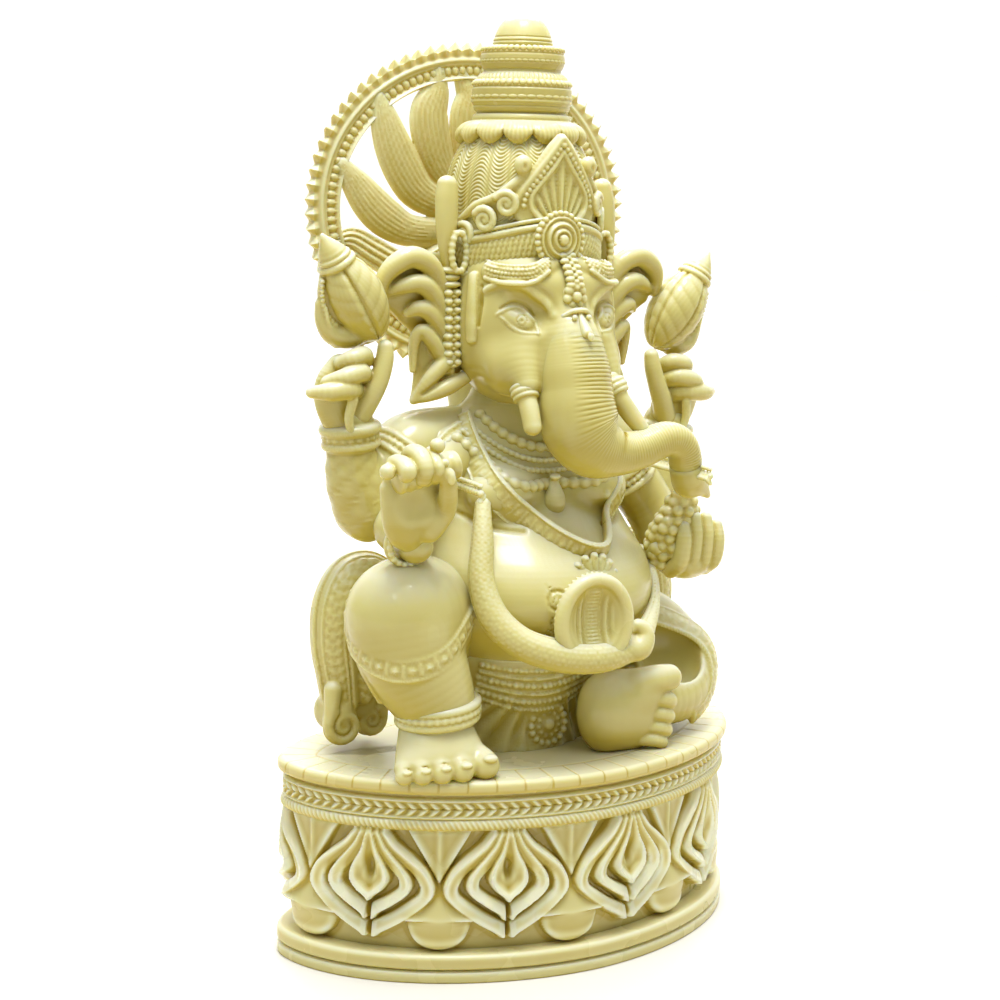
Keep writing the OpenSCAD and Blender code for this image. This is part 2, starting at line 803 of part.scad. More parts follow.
module front_left_hand() {
    casting() difference() {
        union() {
            tube([[50, -8, 124], [51, -12, 122.5], [53, -17, 122]], [[6, 4.5], [8.6, 4.6], [9, 4.6]], 12);
            for (i = [0 : 3])
                tube([[46 + i * 4.2, -19.5, 123.5 - abs(i - 1.5) * 0.3], [46.6 + i * 4.3, -23, 127], [47 + i * 4.4, -23.5, 133 + min(i, 2) * 1.6]],
                    [3, 2.9, 2.3], 6, [1, 0, 0]);
            tube([[46, -9, 126], [43, -13, 130], [43.5, -16, 135]], [3.4, 2.8, 2.3], 6, [1, 0, 0]);
        }
        front_left_arm_shape();
        sweet_shape();
    }
}

module sweet_shape() {
    stack([[52, -15, 125.5, 6, 4], [52, -15, 130, 7.6, 5.8], [51.5, -16, 136, 7, 5.6], [51, -18, 142, 5.4, 5], [50.5, -20, 146, 3, 3.4]], 12);
}

module sweet_heap() {
    casting() difference() {
        sweet_shape();
        trunk_shape();
    }
}

plinth_foot();
plinth_drum();
lotus_petals();
lotus_tips();
rope_moulding();
braid_band();
deck_slab();
seat_block();
front_drape();
waist_belt();
belt_medallion();
right_volute();
left_volute();
torso();
serpent_belt();
serpent_hood();
hood_fan();
chest_bib();
necklace_beads();
pendant();
right_leg();
right_foot();
right_anklet();
left_leg();
left_foot();
head();
trunk();
right_tusk();
left_tusk();
forehead_jewel();
right_ear();
left_ear();
right_tassel();
left_tassel();
crown_band();
crown_dome();
crown_plaque();
crown_medallion();
crown_collar();
crown_tiers();
crown_cap();
halo_ring();
halo_teeth();
halo_fan();
halo_stem();
rear_right_arm();
rear_right_hand();
right_conch();
rear_left_arm();
rear_left_hand();
left_conch();
front_right_arm();
front_right_hand();
tusk_piece();
front_left_arm();
front_left_hand();
sweet_heap();
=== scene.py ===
import math
from concurrent.futures import ThreadPoolExecutor

import bpy
import numpy as np
import openvdb
from mathutils import Matrix, Vector


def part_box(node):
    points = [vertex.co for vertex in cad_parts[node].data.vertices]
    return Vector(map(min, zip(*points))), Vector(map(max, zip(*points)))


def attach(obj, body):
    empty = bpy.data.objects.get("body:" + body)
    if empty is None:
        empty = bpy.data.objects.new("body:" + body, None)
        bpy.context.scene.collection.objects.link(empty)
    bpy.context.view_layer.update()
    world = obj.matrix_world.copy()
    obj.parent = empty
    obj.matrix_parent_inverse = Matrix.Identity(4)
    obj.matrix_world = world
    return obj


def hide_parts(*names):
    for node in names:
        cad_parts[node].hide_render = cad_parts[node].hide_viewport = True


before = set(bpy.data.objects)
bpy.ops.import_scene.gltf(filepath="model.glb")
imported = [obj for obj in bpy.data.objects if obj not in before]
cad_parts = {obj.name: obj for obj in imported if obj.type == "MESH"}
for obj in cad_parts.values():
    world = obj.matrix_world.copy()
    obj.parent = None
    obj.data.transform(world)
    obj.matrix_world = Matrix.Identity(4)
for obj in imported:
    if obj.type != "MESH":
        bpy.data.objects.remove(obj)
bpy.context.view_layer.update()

MM = 0.001
FAR = 1000.0
TURN = 2 * np.pi
# The clay is compared with itself averaged over about this many mm to find its hollows
HOLLOW_REACH = 1.0
HOLLOW_DEPTH = 2.4
# How far from the skin a relief still moves the clay
RELIEF_DEPTH = 2.5
COARSER = 1.0


# ---- curves ----

def unit(v):
    """The vectors along the last axis, made one long."""
    v = np.asarray(v, float)
    return v / np.maximum(np.linalg.norm(v, axis=-1, keepdims=True), 1e-9)


def bell(q, width):
    """1 where q is nought, falling smoothly to nought a few widths away."""
    return np.exp(-((q / width) ** 2))


def share(q):
    """q kept between nought and one."""
    return np.clip(q, 0, 1)


def wave(q):
    """A ripple of height one with a crest at every whole q."""
    return np.cos(TURN * q)


def circle(n, radius, side, rise, squash=1.0):
    """Points round a circle about the origin, from side towards rise."""
    t = np.linspace(0, TURN, n)
    return np.outer(radius * np.cos(t), side) + np.outer(radius * squash * np.sin(t), rise)


def curve(rows, pieces=5):
    """More rows between the given ones, on a smooth curve through them. Radii ride along as extra
    columns."""
    p = np.asarray(rows, float)
    p = np.vstack([2 * p[0] - p[1], p, 2 * p[-1] - p[-2]])
    t = np.arange(pieces)[:, None] / pieces
    spans = []
    for a, b, c, d in zip(p, p[1:], p[2:], p[3:]):
        spans.append(0.5 * (2 * b + (c - a) * t + (2 * a - 5 * b + 4 * c - d) * t**2
            + (3 * b - a - 3 * c + d) * t**3))
    return np.vstack(spans + [p[-2:-1]])


def along(rows):
    """Length walked at each row."""
    steps = np.linalg.norm(np.diff(np.asarray(rows, float)[:, :3], axis=0), axis=1)
    return np.concatenate([[0.0], np.cumsum(steps)])


def spaced(rows, pitch):
    """Rows every pitch mm along a path, its ends included."""
    rows = np.asarray(rows, float)
    s = along(rows)
    n = max(int(round(s[-1] / pitch)), 1)
    return np.stack([np.interp(np.linspace(0, s[-1], n + 1), s, rows[:, i])
        for i in range(rows.shape[1])], axis=1)


def evened(rows, times=3):
    """The rows with small wobbles smoothed out."""
    rows = np.array(rows, float)
    for _ in range(times):
        rows[1:-1] = (rows[:-2] + 2 * rows[1:-1] + rows[2:]) / 4
    return rows


# ---- clay: shapes as signed distances on a grid of small cubes ----

class Clay:
    def __init__(self, lo, hi, step):
        self.step = step * COARSER
        self.first = np.floor(np.array(lo, float) / step).astype(int)
        self.count = np.ceil(np.array(hi, float) / step).astype(int) - self.first + 1
        self.d = np.full(self.count, FAR, np.float32)

    def window(self, lo, hi, reach=0.0):
        """The cubes from lo to hi, and their x, y and z."""
        a = np.floor((np.asarray(lo) - reach) / self.step).astype(int) - self.first
        b = np.ceil((np.asarray(hi) + reach) / self.step).astype(int) - self.first + 1
        a, b = np.clip(a, 0, self.count), np.clip(b, 0, self.count)
        axes = [((self.first[i] + np.arange(a[i], b[i])) * self.step).astype(np.float32)
            for i in range(3)]
        return tuple(slice(p, q) for p, q in zip(a, b)), np.meshgrid(*axes, indexing="ij", sparse=True)

    def put(self, part, e, blend=0.0, cut=False):
        """Adds a shape's distances e to that part of the grid, or takes the shape away, with a fillet of
        size blend."""
        d = self.d[part]
        if cut:
            d, e = -d, e
        if blend:
            h = np.maximum(blend - np.abs(d - e), 0) / blend
            out = np.minimum(d, e) - h * h * (blend / 4)
        else:
            out = np.minimum(d, e)
        self.d[part] = -out if cut else out

    def egg(self, centre, radii, blend=0.0, cut=False, tilt=None):
        """An ellipsoid. The rows of tilt are its own axes."""
        c, r = np.array(centre, float), np.broadcast_to(np.asarray(radii, float), 3)
        axes = np.eye(3) if tilt is None else unit(tilt)
        size = np.sqrt((r[:, None] ** 2 * axes**2).sum(0))
        part, (x, y, z) = self.window(c - size, c + size, blend + 3 * self.step)
        x, y, z = x - c[0], y - c[1], z - c[2]
        if tilt is None and np.ptp(r) == 0:
            return self.put(part, np.sqrt(x * x + y * y + z * z) - r[0], blend, cut)
        k0 = k1 = 0
        for axis, radius in zip(axes, r):
            q = x * axis[0] + y * axis[1] + z * axis[2]
            k0 = k0 + (q / radius) ** 2
            k1 = k1 + (q / radius**2) ** 2
        k0 = np.sqrt(k0)
        self.put(part, k0 * (k0 - 1) / np.maximum(np.sqrt(k1), 1e-6), blend, cut)

    def tube(self, rows, up=(0, 0, 1), blend=0.0, cut=False, relief=None, pieces=5, bulge=1.0):
        """A round or oval tube: rows are x, y, z, half width and, if not round, half height towards up,
        which is a direction or a function that gives one for each point. relief(s, across, rise) is how
        far the skin stands out, s mm along the tube."""
        rows = np.asarray(rows, float)
        if pieces > 1:
            rows = curve(rows, pieces if rows.shape[1] == 4 and relief is None else 2 * pieces)
        p, w = rows[:, :3], rows[:, 3]
        h = rows[:, 4] if rows.shape[1] > 4 else w
        round_tube = rows.shape[1] == 4 and relief is None
        run = unit(np.gradient(p, axis=0))
        side = unit(np.cross(run, up(p) if callable(up) else np.asarray(up, float)))
        rise = np.cross(side, run)
        s = along(p)
        big = np.maximum(w, h)
        reach = blend + 3 * self.step + (1.0 if relief else 0.0)
        part, _ = self.window((p - big[:, None]).min(0), (p + big[:, None]).max(0), reach)
        lump = Clay.__new__(Clay)
        lump.step, lump.first = self.step, self.first + [q.start for q in part]
        lump.count = np.array([q.stop - q.start for q in part])
        lump.d = np.full(lump.count, FAR, np.float32)
        for i in range(len(p) - 1):
            a, ab, r = p[i], p[i + 1] - p[i], max(big[i], big[i + 1])
            here, (x, y, z) = lump.window(np.minimum(a, p[i + 1]) - r, np.maximum(a, p[i + 1]) + r, reach)
            x, y, z = x - a[0], y - a[1], z - a[2]
            t = share((x * ab[0] + y * ab[1] + z * ab[2]) / max(ab @ ab, 1e-9))
            x, y, z = x - t * ab[0], y - t * ab[1], z - t * ab[2]
            if round_tube:
                e = np.sqrt(x * x + y * y + z * z) - (w[i] + t * (w[i + 1] - w[i]))
            else:
                ww, hh = w[i] + t * (w[i + 1] - w[i]), h[i] + t * (h[i + 1] - h[i])
                f, g = side[i], side[i + 1] - side[i]
                u = (x * f[0] + y * f[1] + z * f[2] + t * (x * g[0] + y * g[1] + z * g[2])) / ww
                f, g = rise[i], rise[i + 1] - rise[i]
                v = (x * f[0] + y * f[1] + z * f[2] + t * (x * g[0] + y * g[1] + z * g[2])) / hh
                f, m = run[i], np.minimum(ww, hh) * bulge
                q = (x * f[0] + y * f[1] + z * f[2]) / m
                k0 = np.sqrt(u * u + v * v + q * q)
                e = (k0 * (k0 - 1) / np.maximum(np.sqrt((u / ww) ** 2 + (v / hh) ** 2 + (q / m) ** 2),
                    1e-6))
                if relief:
                    e = e - relief(s[i] + t * (s[i + 1] - s[i]), u, v)
            np.minimum(lump.d[here], e, out=lump.d[here])
        self.put(part, lump.d, blend, cut)

    def cord(self, rows, width, up=(0, 0, 1), blend=0.0, **more):
        """A tube along rows that are close together already: width is one for all rows, one for each row,
        or a half width and half height."""
        width = np.asarray(width, float)
        if len(width.shape) and len(width) == len(rows):
            width = width[:, None]
        self.tube(np.c_[rows, np.zeros((len(rows), 1)) + width], up, blend, pieces=1, **more)

    def beads(self, rows, r, pitch=None, blend=0.3):
        """A string of beads along a path."""
        for x, y, z in spaced(np.asarray(rows, float)[:, :3], pitch or 2 * r):
            self.egg((x, y, z), r, blend)

    def slab(self, lo, hi, blend=0.0, cut=False):
        """A box along the axes."""
        part, (x, y, z) = self.window(lo, hi, blend + 3 * self.step)
        c, h = (np.asarray(lo) + hi) / 2, (np.asarray(hi) - lo) / 2
        e = np.maximum(np.maximum(np.abs(x - c[0]) - h[0], np.abs(y - c[1]) - h[1]),
            np.abs(z - c[2]) - h[2])
        self.put(part, e, blend, cut)

    def stand(self, z, blend=0.0):
        """Cuts everything below that height away."""
        self.slab([-90, -60, 50], [90, 60, z], blend, cut=True)

    def stack(self, sections, blend=0.0):
        """Level oval rings joined by a smooth skin: each section is x, y, z, half width, half depth."""
        rows = curve(sections, 6)
        rows = rows[np.argsort(rows[:, 2])]
        size = rows[:, 3:5].max()
        lo = [rows[:, 0].min() - size, rows[:, 1].min() - size, rows[0, 2]]
        hi = [rows[:, 0].max() + size, rows[:, 1].max() + size, rows[-1, 2]]
        part, (x, y, z) = self.window(lo, hi, blend + 3 * self.step)
        cx, cy, w, h = (np.interp(z, rows[:, 2], rows[:, i]) for i in (0, 1, 3, 4))
        u, v = (x - cx) / w, (y - cy) / h
        k = np.sqrt(u * u + v * v)
        e = k * (k - 1) / np.maximum(np.sqrt((u / w) ** 2 + (v / h) ** 2), 1e-6)
        self.put(part, np.maximum(e, np.maximum(rows[0, 2] - z, z - rows[-1, 2])), blend)

    def land(self, points, aim=(0, 1, 0), far=60.0):
        """Where rays from the points along aim first meet the clay."""
        p = np.array(points, float)
        aim = unit(np.broadcast_to(np.asarray(aim, float), p.shape))
        q = p[:, None] + aim[:, None] * np.arange(0, far, self.step / 2)[:, None]
        i, j, k = np.moveaxis(np.clip(np.rint(q / self.step).astype(int) - self.first, 0, self.count - 1),
            -1, 0)
        return q[np.arange(len(p)), (self.d[i, j, k] < 0).argmax(1)]

    def drape(self, rows, back, pieces=5):
        """The rows on a smooth curve, each moved back onto the clay's skin from that far in front."""
        rows = curve(rows, pieces)
        rows[:, :3] = evened(self.land(rows[:, :3] - [0, back, 0], far=2 * back))
        return rows

    def relief(self, lo, hi, height):
        """Raises the skin between lo and hi by height(x, y, z) mm."""
        part, (x, y, z) = self.window(lo, hi)
        d = self.d[part]
        i, j, k = np.nonzero(np.abs(d) < RELIEF_DEPTH)
        d[i, j, k] -= height(x.ravel()[i], y.ravel()[j], z.ravel()[k]).astype(np.float32)

    def skin(self):
        """The clay's surface: its points in mm, lifted with the deck, its quads, and how far each point
        stands proud of the clay about it."""
        band = 3 * self.step
        d = np.clip(self.d, -band, band)
        grid = openvdb.FloatGrid(band)
        grid.copyFromArray(d)
        points, quads = grid.convertToQuads(isovalue=0.0)
        wide = np.clip(self.d, -HOLLOW_DEPTH, HOLLOW_DEPTH)
        size = max(int(round(HOLLOW_REACH / self.step)), 1)
        for _ in range(2):
            for axis in range(3):
                before = np.repeat(wide.take([0], axis), size + 1, axis)
                after = np.repeat(wide.take([-1], axis), size, axis)
                total = np.cumsum(np.concatenate([before, wide, after], axis), axis, dtype=np.float64)
                n, span = wide.shape[axis], 2 * size + 1
                wide = (total.take(range(span, span + n), axis) - total.take(range(n), axis)) / span
                wide = wide.astype(np.float32)
        i, j, k = np.clip(np.rint(points).astype(int), 0, self.count - 1).T
        hollow = wide[i, j, k] - np.clip(self.d[i, j, k], -HOLLOW_DEPTH, HOLLOW_DEPTH)
        return (points + self.first) * self.step + [0, 0, LIFT], [quads], hollow


# ---- places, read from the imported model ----

def box_mm(node):
    """A node's lowest and highest corner in millimetres."""
    return [np.array(corner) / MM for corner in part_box(node)]


FOOT = box_mm("plinth_foot")
DECK = box_mm("deck_slab")
ROPE = box_mm("rope_moulding")
BRAID = box_mm("braid_band")
HALO = box_mm("halo_teeth")
# The figure's heights are drawn for a deck at this height, and its pieces reach a little into the deck
DRAWN_DECK = 65
UNDER_DECK = DRAWN_DECK - 0.4
LIFT = DECK[1][2] - DRAWN_DECK
CROWN_Y = np.mean([box_mm("crown_collar")[0][1], box_mm("crown_collar")[1][1]])

# ---- pieces: each maker returns points in mm, lists of faces, and how proud each point stands ----

jobs = []


def made(nodes, slot="body_resin"):
    """The function below makes the piece of its own name, which stands for these nodes."""
    def keep(maker):
        jobs.append((maker.__name__, nodes.split(), slot, maker, False))
        return maker
    return keep


def made_pair(right_name, left_name, slot="body_resin", right=(), left=()):
    """The function below makes the piece on the idol's right and, mirrored, the one on its left, each
    with its own arguments."""
    def keep(maker):
        jobs.append((right_name, [right_name], slot, lambda: maker(*right), False))
        jobs.append((left_name, [left_name], slot, lambda: maker(*left), True))
        return maker
    return keep


def smudge(h, reach):
    """A wall's heights averaged over that many columns and rows each way."""
    for axis in (0, 1):
        size = 2 * reach + 1
        edge = "wrap" if axis else "edge"
        pad = [(0, 0), (0, 0)]
        pad[axis] = (reach + 1, reach)
        total = np.cumsum(np.pad(h, pad, mode=edge), axis=axis)
        h = ((total.take(range(size, total.shape[axis]), axis)
            - total.take(range(total.shape[axis] - size), axis)) / size)
    return h


def sleeve(rings, fresh):
    """A closed skin over rings of points, the lowest first, each ring running anticlockwise from above,
    with a point in the middle of each end."""
    m, n = rings.shape[:2]
    points = np.vstack([rings.reshape(-1, 3), rings[0].mean(0), rings[-1].mean(0)])
    i = np.arange(n)
    j = (i + 1) % n
    k = np.arange(m - 1)[:, None] * n
    quads = np.stack([k + i, k + j, k + n + j, k + n + i], axis=-1).reshape(-1, 4)
    top = (m - 1) * n
    ends = np.vstack([np.stack([j, i, np.full(n, m * n)], 1),
        np.stack([top + i, top + j, np.full(n, m * n + 1)], 1)])
    return points, [quads, ends], np.append(fresh.ravel(), [0.0, 0.0])


# ---- plinth ----

# The plinth's plan is a fuller curve than an ellipse, and its widest line lies behind its middle
PLAN_POWER = 1.86
FRONT_SHARE = 59 / 95.5


def outline(inset, pitch):
    """Points round the plinth that far inside its widest outline, evenly spaced from the middle of the
    front towards the idol's left, their outward directions, and the length walked at each."""
    half = (FOOT[1][0] - FOOT[0][0]) / 2
    deep = FOOT[1][1] - FOOT[0][1]
    seam = FOOT[0][1] + FRONT_SHARE * deep
    t = np.linspace(-np.pi / 2, 1.5 * np.pi, 6001)
    c, s = np.cos(t), np.sin(t)
    reach = np.where(s < 0, deep * FRONT_SHARE, deep * (1 - FRONT_SHARE)) - inset
    p = np.stack([(half - inset) * np.sign(c) * abs(c) ** (2 / PLAN_POWER),
        seam + reach * np.sign(s) * abs(s) ** (2 / PLAN_POWER)], 1)
    walked = np.concatenate([[0], np.cumsum(np.linalg.norm(np.diff(p, axis=0), axis=1))])
    s = np.arange(int(walked[-1] / pitch)) * walked[-1] / int(walked[-1] / pitch)
    p = np.stack([np.interp(s, walked, p[:, i]) for i in (0, 1)], 1)
    run = unit(np.roll(p, -1, 0) - np.roll(p, 1, 0))
    return p, np.stack([run[:, 1], -run[:, 0]], 1), s, walked[-1]


def wall(inset, z, height, pitch=0.42):
    """A band of the plinth. height(s, z, girth) is how far it stands out of the outline at that inset."""
    p, out, s, girth = outline(inset, pitch * COARSER)
    h = np.asarray(height(s[None, :], z[:, None], girth)) + np.zeros((len(z), len(s)))
    rings = np.empty((len(z), len(s), 3))
    rings[..., :2] = p + out * h[..., None]
    rings[..., 2] = z[:, None]
    return sleeve(rings, (h - smudge(h, 5)) * 1.2)


def rounded(z, lo, hi, r):
    """How far an edge rounded at radius r draws back from a straight wall between the heights lo and
    hi."""
    d = np.maximum(np.maximum(lo + r - z, z - hi + r), 0) / r
    return -r * (1 - np.sqrt(np.maximum(1 - d * d, 0)))


def edge_levels(lo, hi, r, n=9, middle=3):
    """Levels for a wall with rounded edges, closer together at the edges."""
    turn = r * (1 - np.cos(np.linspace(0, np.pi / 2, n)))
    return np.concatenate([lo + turn, np.linspace(lo + r, hi - r, middle + 2)[1:-1], (hi - turn)[::-1]])


@made("plinth_foot", "plinth_resin")
def plinth_foot():
    lo, hi = FOOT[0][2], FOOT[1][2]
    slot = lo + 0.42 * (hi - lo)
    z = np.concatenate([edge_levels(lo, slot, 0.6), edge_levels(slot + 0.05, hi, 1.5, 11, 4)])
    def height(s, z, girth):
        under, over = rounded(z, lo, slot, 0.6), rounded(z, slot + 0.05, hi, 1.5)
        return np.where(z <= slot, under, over) - 1.1 * bell(z - slot, 0.45) - 0.05
    return wall(0, z, height, 0.8)


# Half widths of a petal's three raised outlines, measured to their outer edges, at heights above the foot
# plate; then how far each stands out, how wide its blade is and how far its lower end stands from the
# middle
OUTLINES = [
    ([3.6, 5.5, 8.5, 12, 16, 19, 22.5, 27, 31, 35, 38.6],
        [2.2, 4.2, 9.2, 14.4, 18.8, 20.6, 20.4, 18.0, 13.8, 9.0, 6.2], 5.4, 5.6),
    ([9.6, 12, 15, 18, 21, 24.5, 28, 32, 35, 38.6],
        [1.8, 3.6, 8.0, 11.8, 13.6, 13.2, 11.0, 7.8, 5.6, 3.9], 5.9, 5.0),
    ([15.4, 17.5, 20, 23, 26, 29, 33, 38.6], [0.4, 2.0, 4.8, 6.6, 6.5, 5.4, 3.4, 1.9], 6.2, 4.2)]
PETALS = 9
# The outlines are drawn for petals this far apart on a band this high, in mm
PETAL_PITCH = 43.1
BAND_HIGH = 39.6
FRONT_PETAL = 0.297


def lotus_height(s, z, girth):
    """How far the carved lotus band stands out of the drum."""
    top, foot = ROPE[0][2], FOOT[1][2]
    v = (z - foot) * BAND_HIGH / (top - foot)
    # The middle of the front petal stands a little to the idol's left
    u = (s / girth * PETALS - FRONT_PETAL + 0.5) % 1 - 0.5
    u = np.abs(u) * PETAL_PITCH
    swell = 1.6 * bell(u, 15) * np.sin(share(v / BAND_HIGH) * np.pi) - 0.4
    h = swell + 0 * v
    for rows, widths, rise, blade in OUTLINES:
        knots = curve(np.stack([rows, widths], 1), 6)
        w = np.interp(v, knots[:, 0], knots[:, 1])
        lean = np.interp(v, knots[:, 0], np.gradient(knots[:, 1], knots[:, 0]))
        # Each blade rises steeply from its outer edge to a crest, then slopes down to its inner edge
        deep = (w - u) / np.sqrt(1 + lean**2)
        steep = share(deep / 1.1)
        slope = 1 - 0.34 * share((deep - 1.1) / (blade - 1.1))
        inner = (share((blade - deep) / 0.7) if rows[0] < 15
            else np.clip(1 - np.exp(-((u / 1.3) ** 2 + ((v - 27) / 3.4) ** 2)), 0.1, 1))
        low = share((v - rows[0]) / 1.2) * (share(u / 0.9) if rows[0] < 15 else 1)
        h = np.maximum(h, (rise + 0.5 * swell) * np.sqrt(steep) * slope * inner * low)
    # A small rounded petal stands between two large ones, with a leaf pointing down above it
    d = PETAL_PITCH / 2 - u
    small = np.sqrt(np.maximum(1 - (d / 10.4) ** 2 - ((v - 10.6) / 10.4) ** 2, 0))
    small = 5.4 * small**0.6 + 0.9 * (small > 0) * bell(v - 2.6 - 0.02 * d * d, 1.7)
    h = np.maximum(h, np.where(v > 10.6,
        np.maximum(5.4 - 0.4 * (v - 10.6), 0) * (d < 10.4 - 0.6 * (v - 10.6)), small))
    leaf = (share((v - 21 - 1.7 * d) / 1.5) * (3.0 - 1.0 * share((v - 21 - 1.7 * d) / 7)
        + 0.6 * bell(d, 0.9)))
    h = np.maximum(h, leaf)
    return h - 0.6 * bell(v - BAND_HIGH, 0.9)


@made("plinth_drum lotus_petals lotus_tips", "plinth_resin")
def lotus_drum():
    z = np.arange(FOOT[1][2] - 0.4, ROPE[0][2] + 0.6, 0.36 * COARSER)
    return wall(7, z, lotus_height, 0.4)


@made("rope_moulding", "plinth_resin")
def rope_moulding():
    lo, hi = ROPE[0][2], ROPE[1][2]
    mid, r = (lo + hi) / 2, (hi - lo) / 2
    z = mid - r * np.cos(np.linspace(0, np.pi, 22))
    def height(s, z, girth):
        turns = round(girth / 1.7)
        arch = np.sqrt(np.maximum(1 - ((z - mid) / r) ** 2, 0))
        return -1.9 + 1.9 * arch + 0.24 * arch * wave(s / girth * turns + 0.32 * (z - mid))
    return wall(1.2, z, height, 0.3)


@made("braid_band", "plinth_resin")
def braid_band():
    lo, hi = BRAID[0][2], BRAID[1][2]
    # A hollow runs under the deck's edge; the braid lies between two rims below it
    cove = 1.8
    mid, half = (lo + hi - cove) / 2, (hi - cove - lo) / 2
    z = np.linspace(lo, hi, int(9 / (0.2 * COARSER)))
    def height(s, z, girth):
        turns = round(girth / 3.6)
        q = np.abs(z - mid)
        strand = wave(s / girth * turns + 0.26 * q)
        rib = bell(q - half + 0.45, 0.4)
        inside = 1 / (1 + np.exp((q - half + 1.1) * 7))
        braid = inside * (0.6 * np.sign(strand) * np.abs(strand) ** 0.7 - 0.6 * bell(q, 0.3))
        return -1.0 + braid + 0.5 * rib - 0.2 - 1.3 * share((z - hi + cove) / 0.5)
    return wall(1, z, height, 0.34)


@made("deck_slab", "plinth_resin")
def deck_slab():
    lo, hi = DECK[0][2], DECK[1][2]
    joint = 9.0
    p, out, s, girth = outline(0, 0.36 * COARSER)
    turns = round(girth / joint)
    near = np.abs((s / girth * turns + 0.5) % 1 - 0.5) * joint
    cut = 0.28 * bell(near, 0.24)
    rings, fresh = [], []
    for z in edge_levels(lo, hi, 1.9, 12, 2)[:-1]:
        h = rounded(z, lo, hi, 1.9) - 0.02
        rings.append(np.c_[p + out * (h - cut * (z > lo + 1))[:, None], np.full(len(p), z)])
        fresh.append(-cut * 3)
    for inset in np.concatenate([np.arange(1.9, 16, 0.5), [18, 22, 28]]):
        groove = 0.3 * bell(inset - 12.5, 0.3) + cut * (inset < 12.7)
        rings.append(np.c_[p - out * inset, hi - groove - 0.01])
        fresh.append(-groove * 3)
    return sleeve(np.array(rings), np.array(fresh))


# ---- crown ----

def turned(profile, relief, columns, fine):
    """A turned piece about the crown's upright axis. profile is rows of radius and height, from the
    bottom up; relief(angle, length along the profile, height) is how far its skin stands out."""
    rows = np.asarray(profile, float)
    walked = np.concatenate([[0], np.cumsum(np.linalg.norm(np.diff(rows, axis=0), axis=1))])
    w = np.linspace(0, walked[-1], int(walked[-1] / (fine * COARSER)))
    r, z = np.interp(w, walked, rows[:, 0]), np.interp(w, walked, rows[:, 1]) + LIFT
    a = np.linspace(0, TURN, int(columns / COARSER), endpoint=False)
    h = relief(a[None, :], w[:, None], z[:, None] - LIFT) + np.zeros((len(w), len(a)))
    nr, nz = np.gradient(z), -np.gradient(r)
    size = np.hypot(nr, nz) + 1e-9
    radius = np.maximum(r[:, None] + h * (nr / size)[:, None], 0.01)
    rings = np.stack([radius * np.cos(a), CROWN_Y + radius * np.sin(a),
        z[:, None] + h * (nz / size)[:, None]], -1)
    return sleeve(rings, (h - smudge(h, 4)) * 1.4)


def bead_row(a, z, at, count, r):
    """A row of half-round beads round the crown at that height."""
    q = (np.abs((a / TURN * count) % 1 - 0.5) * 2) ** 2 + ((z - at) / r) ** 2
    return r * 0.8 * np.sqrt(np.maximum(1 - q, 0))


@made("crown_cap", "ornament_resin")
def crown_cap():
    profile = curve([[9.4, 289.6], [9.7, 291.2], [9.3, 292.6], [8.5, 294.6], [7.4, 296.6], [5.9, 298.3],
        [3.8, 299.5], [1.7, 299.95], [0.05, 300]], 5)
    def relief(a, w, z):
        return (-0.3 * bell(z - 291.6, 0.28) - 0.22 * bell(z - 292.9, 0.25)) * np.ones_like(a)
    return turned(profile, relief, 260, 0.16)


@made("crown_tiers", "ornament_resin")
def crown_tiers():
    profile = [[14.4, 267.6], [14.4, 269.2], [15.2, 269.8], [15.7, 271], [16.1, 273.5], [16.1, 276.5],
        [15.7, 278], [15.1, 278.8], [14.3, 280.2], [13.4, 281.3], [12.5, 281.9], [12.4, 282.6],
        [12.9, 283.2], [13.4, 284.4], [13.6, 286], [13.4, 288], [12.9, 289.2], [11.5, 289.8], [8, 290],
        [0.05, 290]]
    def relief(a, w, z):
        h = bead_row(a, z, 278.5, 46, 0.95) + bead_row(a, z, 289.1, 40, 0.85)
        h = h + bead_row(a, z, 274, 34, 0.55) * 0.7 + bead_row(a, z, 285.3, 44, 0.4) * 0.8
        h = h - 0.25 * bell(z - 277.1, 0.3) - 0.22 * bell(z - 271.2, 0.3)
        h = h + 0.16 * np.cos(a * 60) * bell(z - 280.4, 0.9) - 0.2 * bell(z - 287.7, 0.3)
        return h + 0.3 * bell(z - 272.6, 0.4)
    return turned(profile, relief, 900, 0.16)


@made("crown_collar", "ornament_resin")
def crown_collar():
    profile = curve([[16.9, 260.9], [19.4, 260.4], [20.8, 261.6], [20.6, 263.4], [19.2, 265.2],
        [17.3, 266.3], [16.1, 266.6], [15.9, 267.6], [15.2, 268.6], [13.5, 268.8]], 6)
    count = 13
    def relief(a, w, z):
        u = (a / TURN * count) % 1 - 0.5
        low = share((266.4 - z) / 4)
        scallop = low * (1.3 * np.abs(np.cos(np.pi * u)) ** 0.6 - 0.9)
        flutes = 0.07 * low * wave(u * 7)
        return scallop + flutes
    points, faces, fresh = turned(profile, relief, 700, 0.2)
    # The skirt's lower edge hangs in scallops
    a = np.arctan2(points[:, 1] - CROWN_Y, points[:, 0])
    u = (a / TURN * count) % 1 - 0.5
    low = share((264.5 + LIFT - points[:, 2]) / 4)
    points[:, 2] -= low * (2.6 * np.abs(np.cos(np.pi * u)) ** 0.7 - 1.7)
    return points, faces, fresh


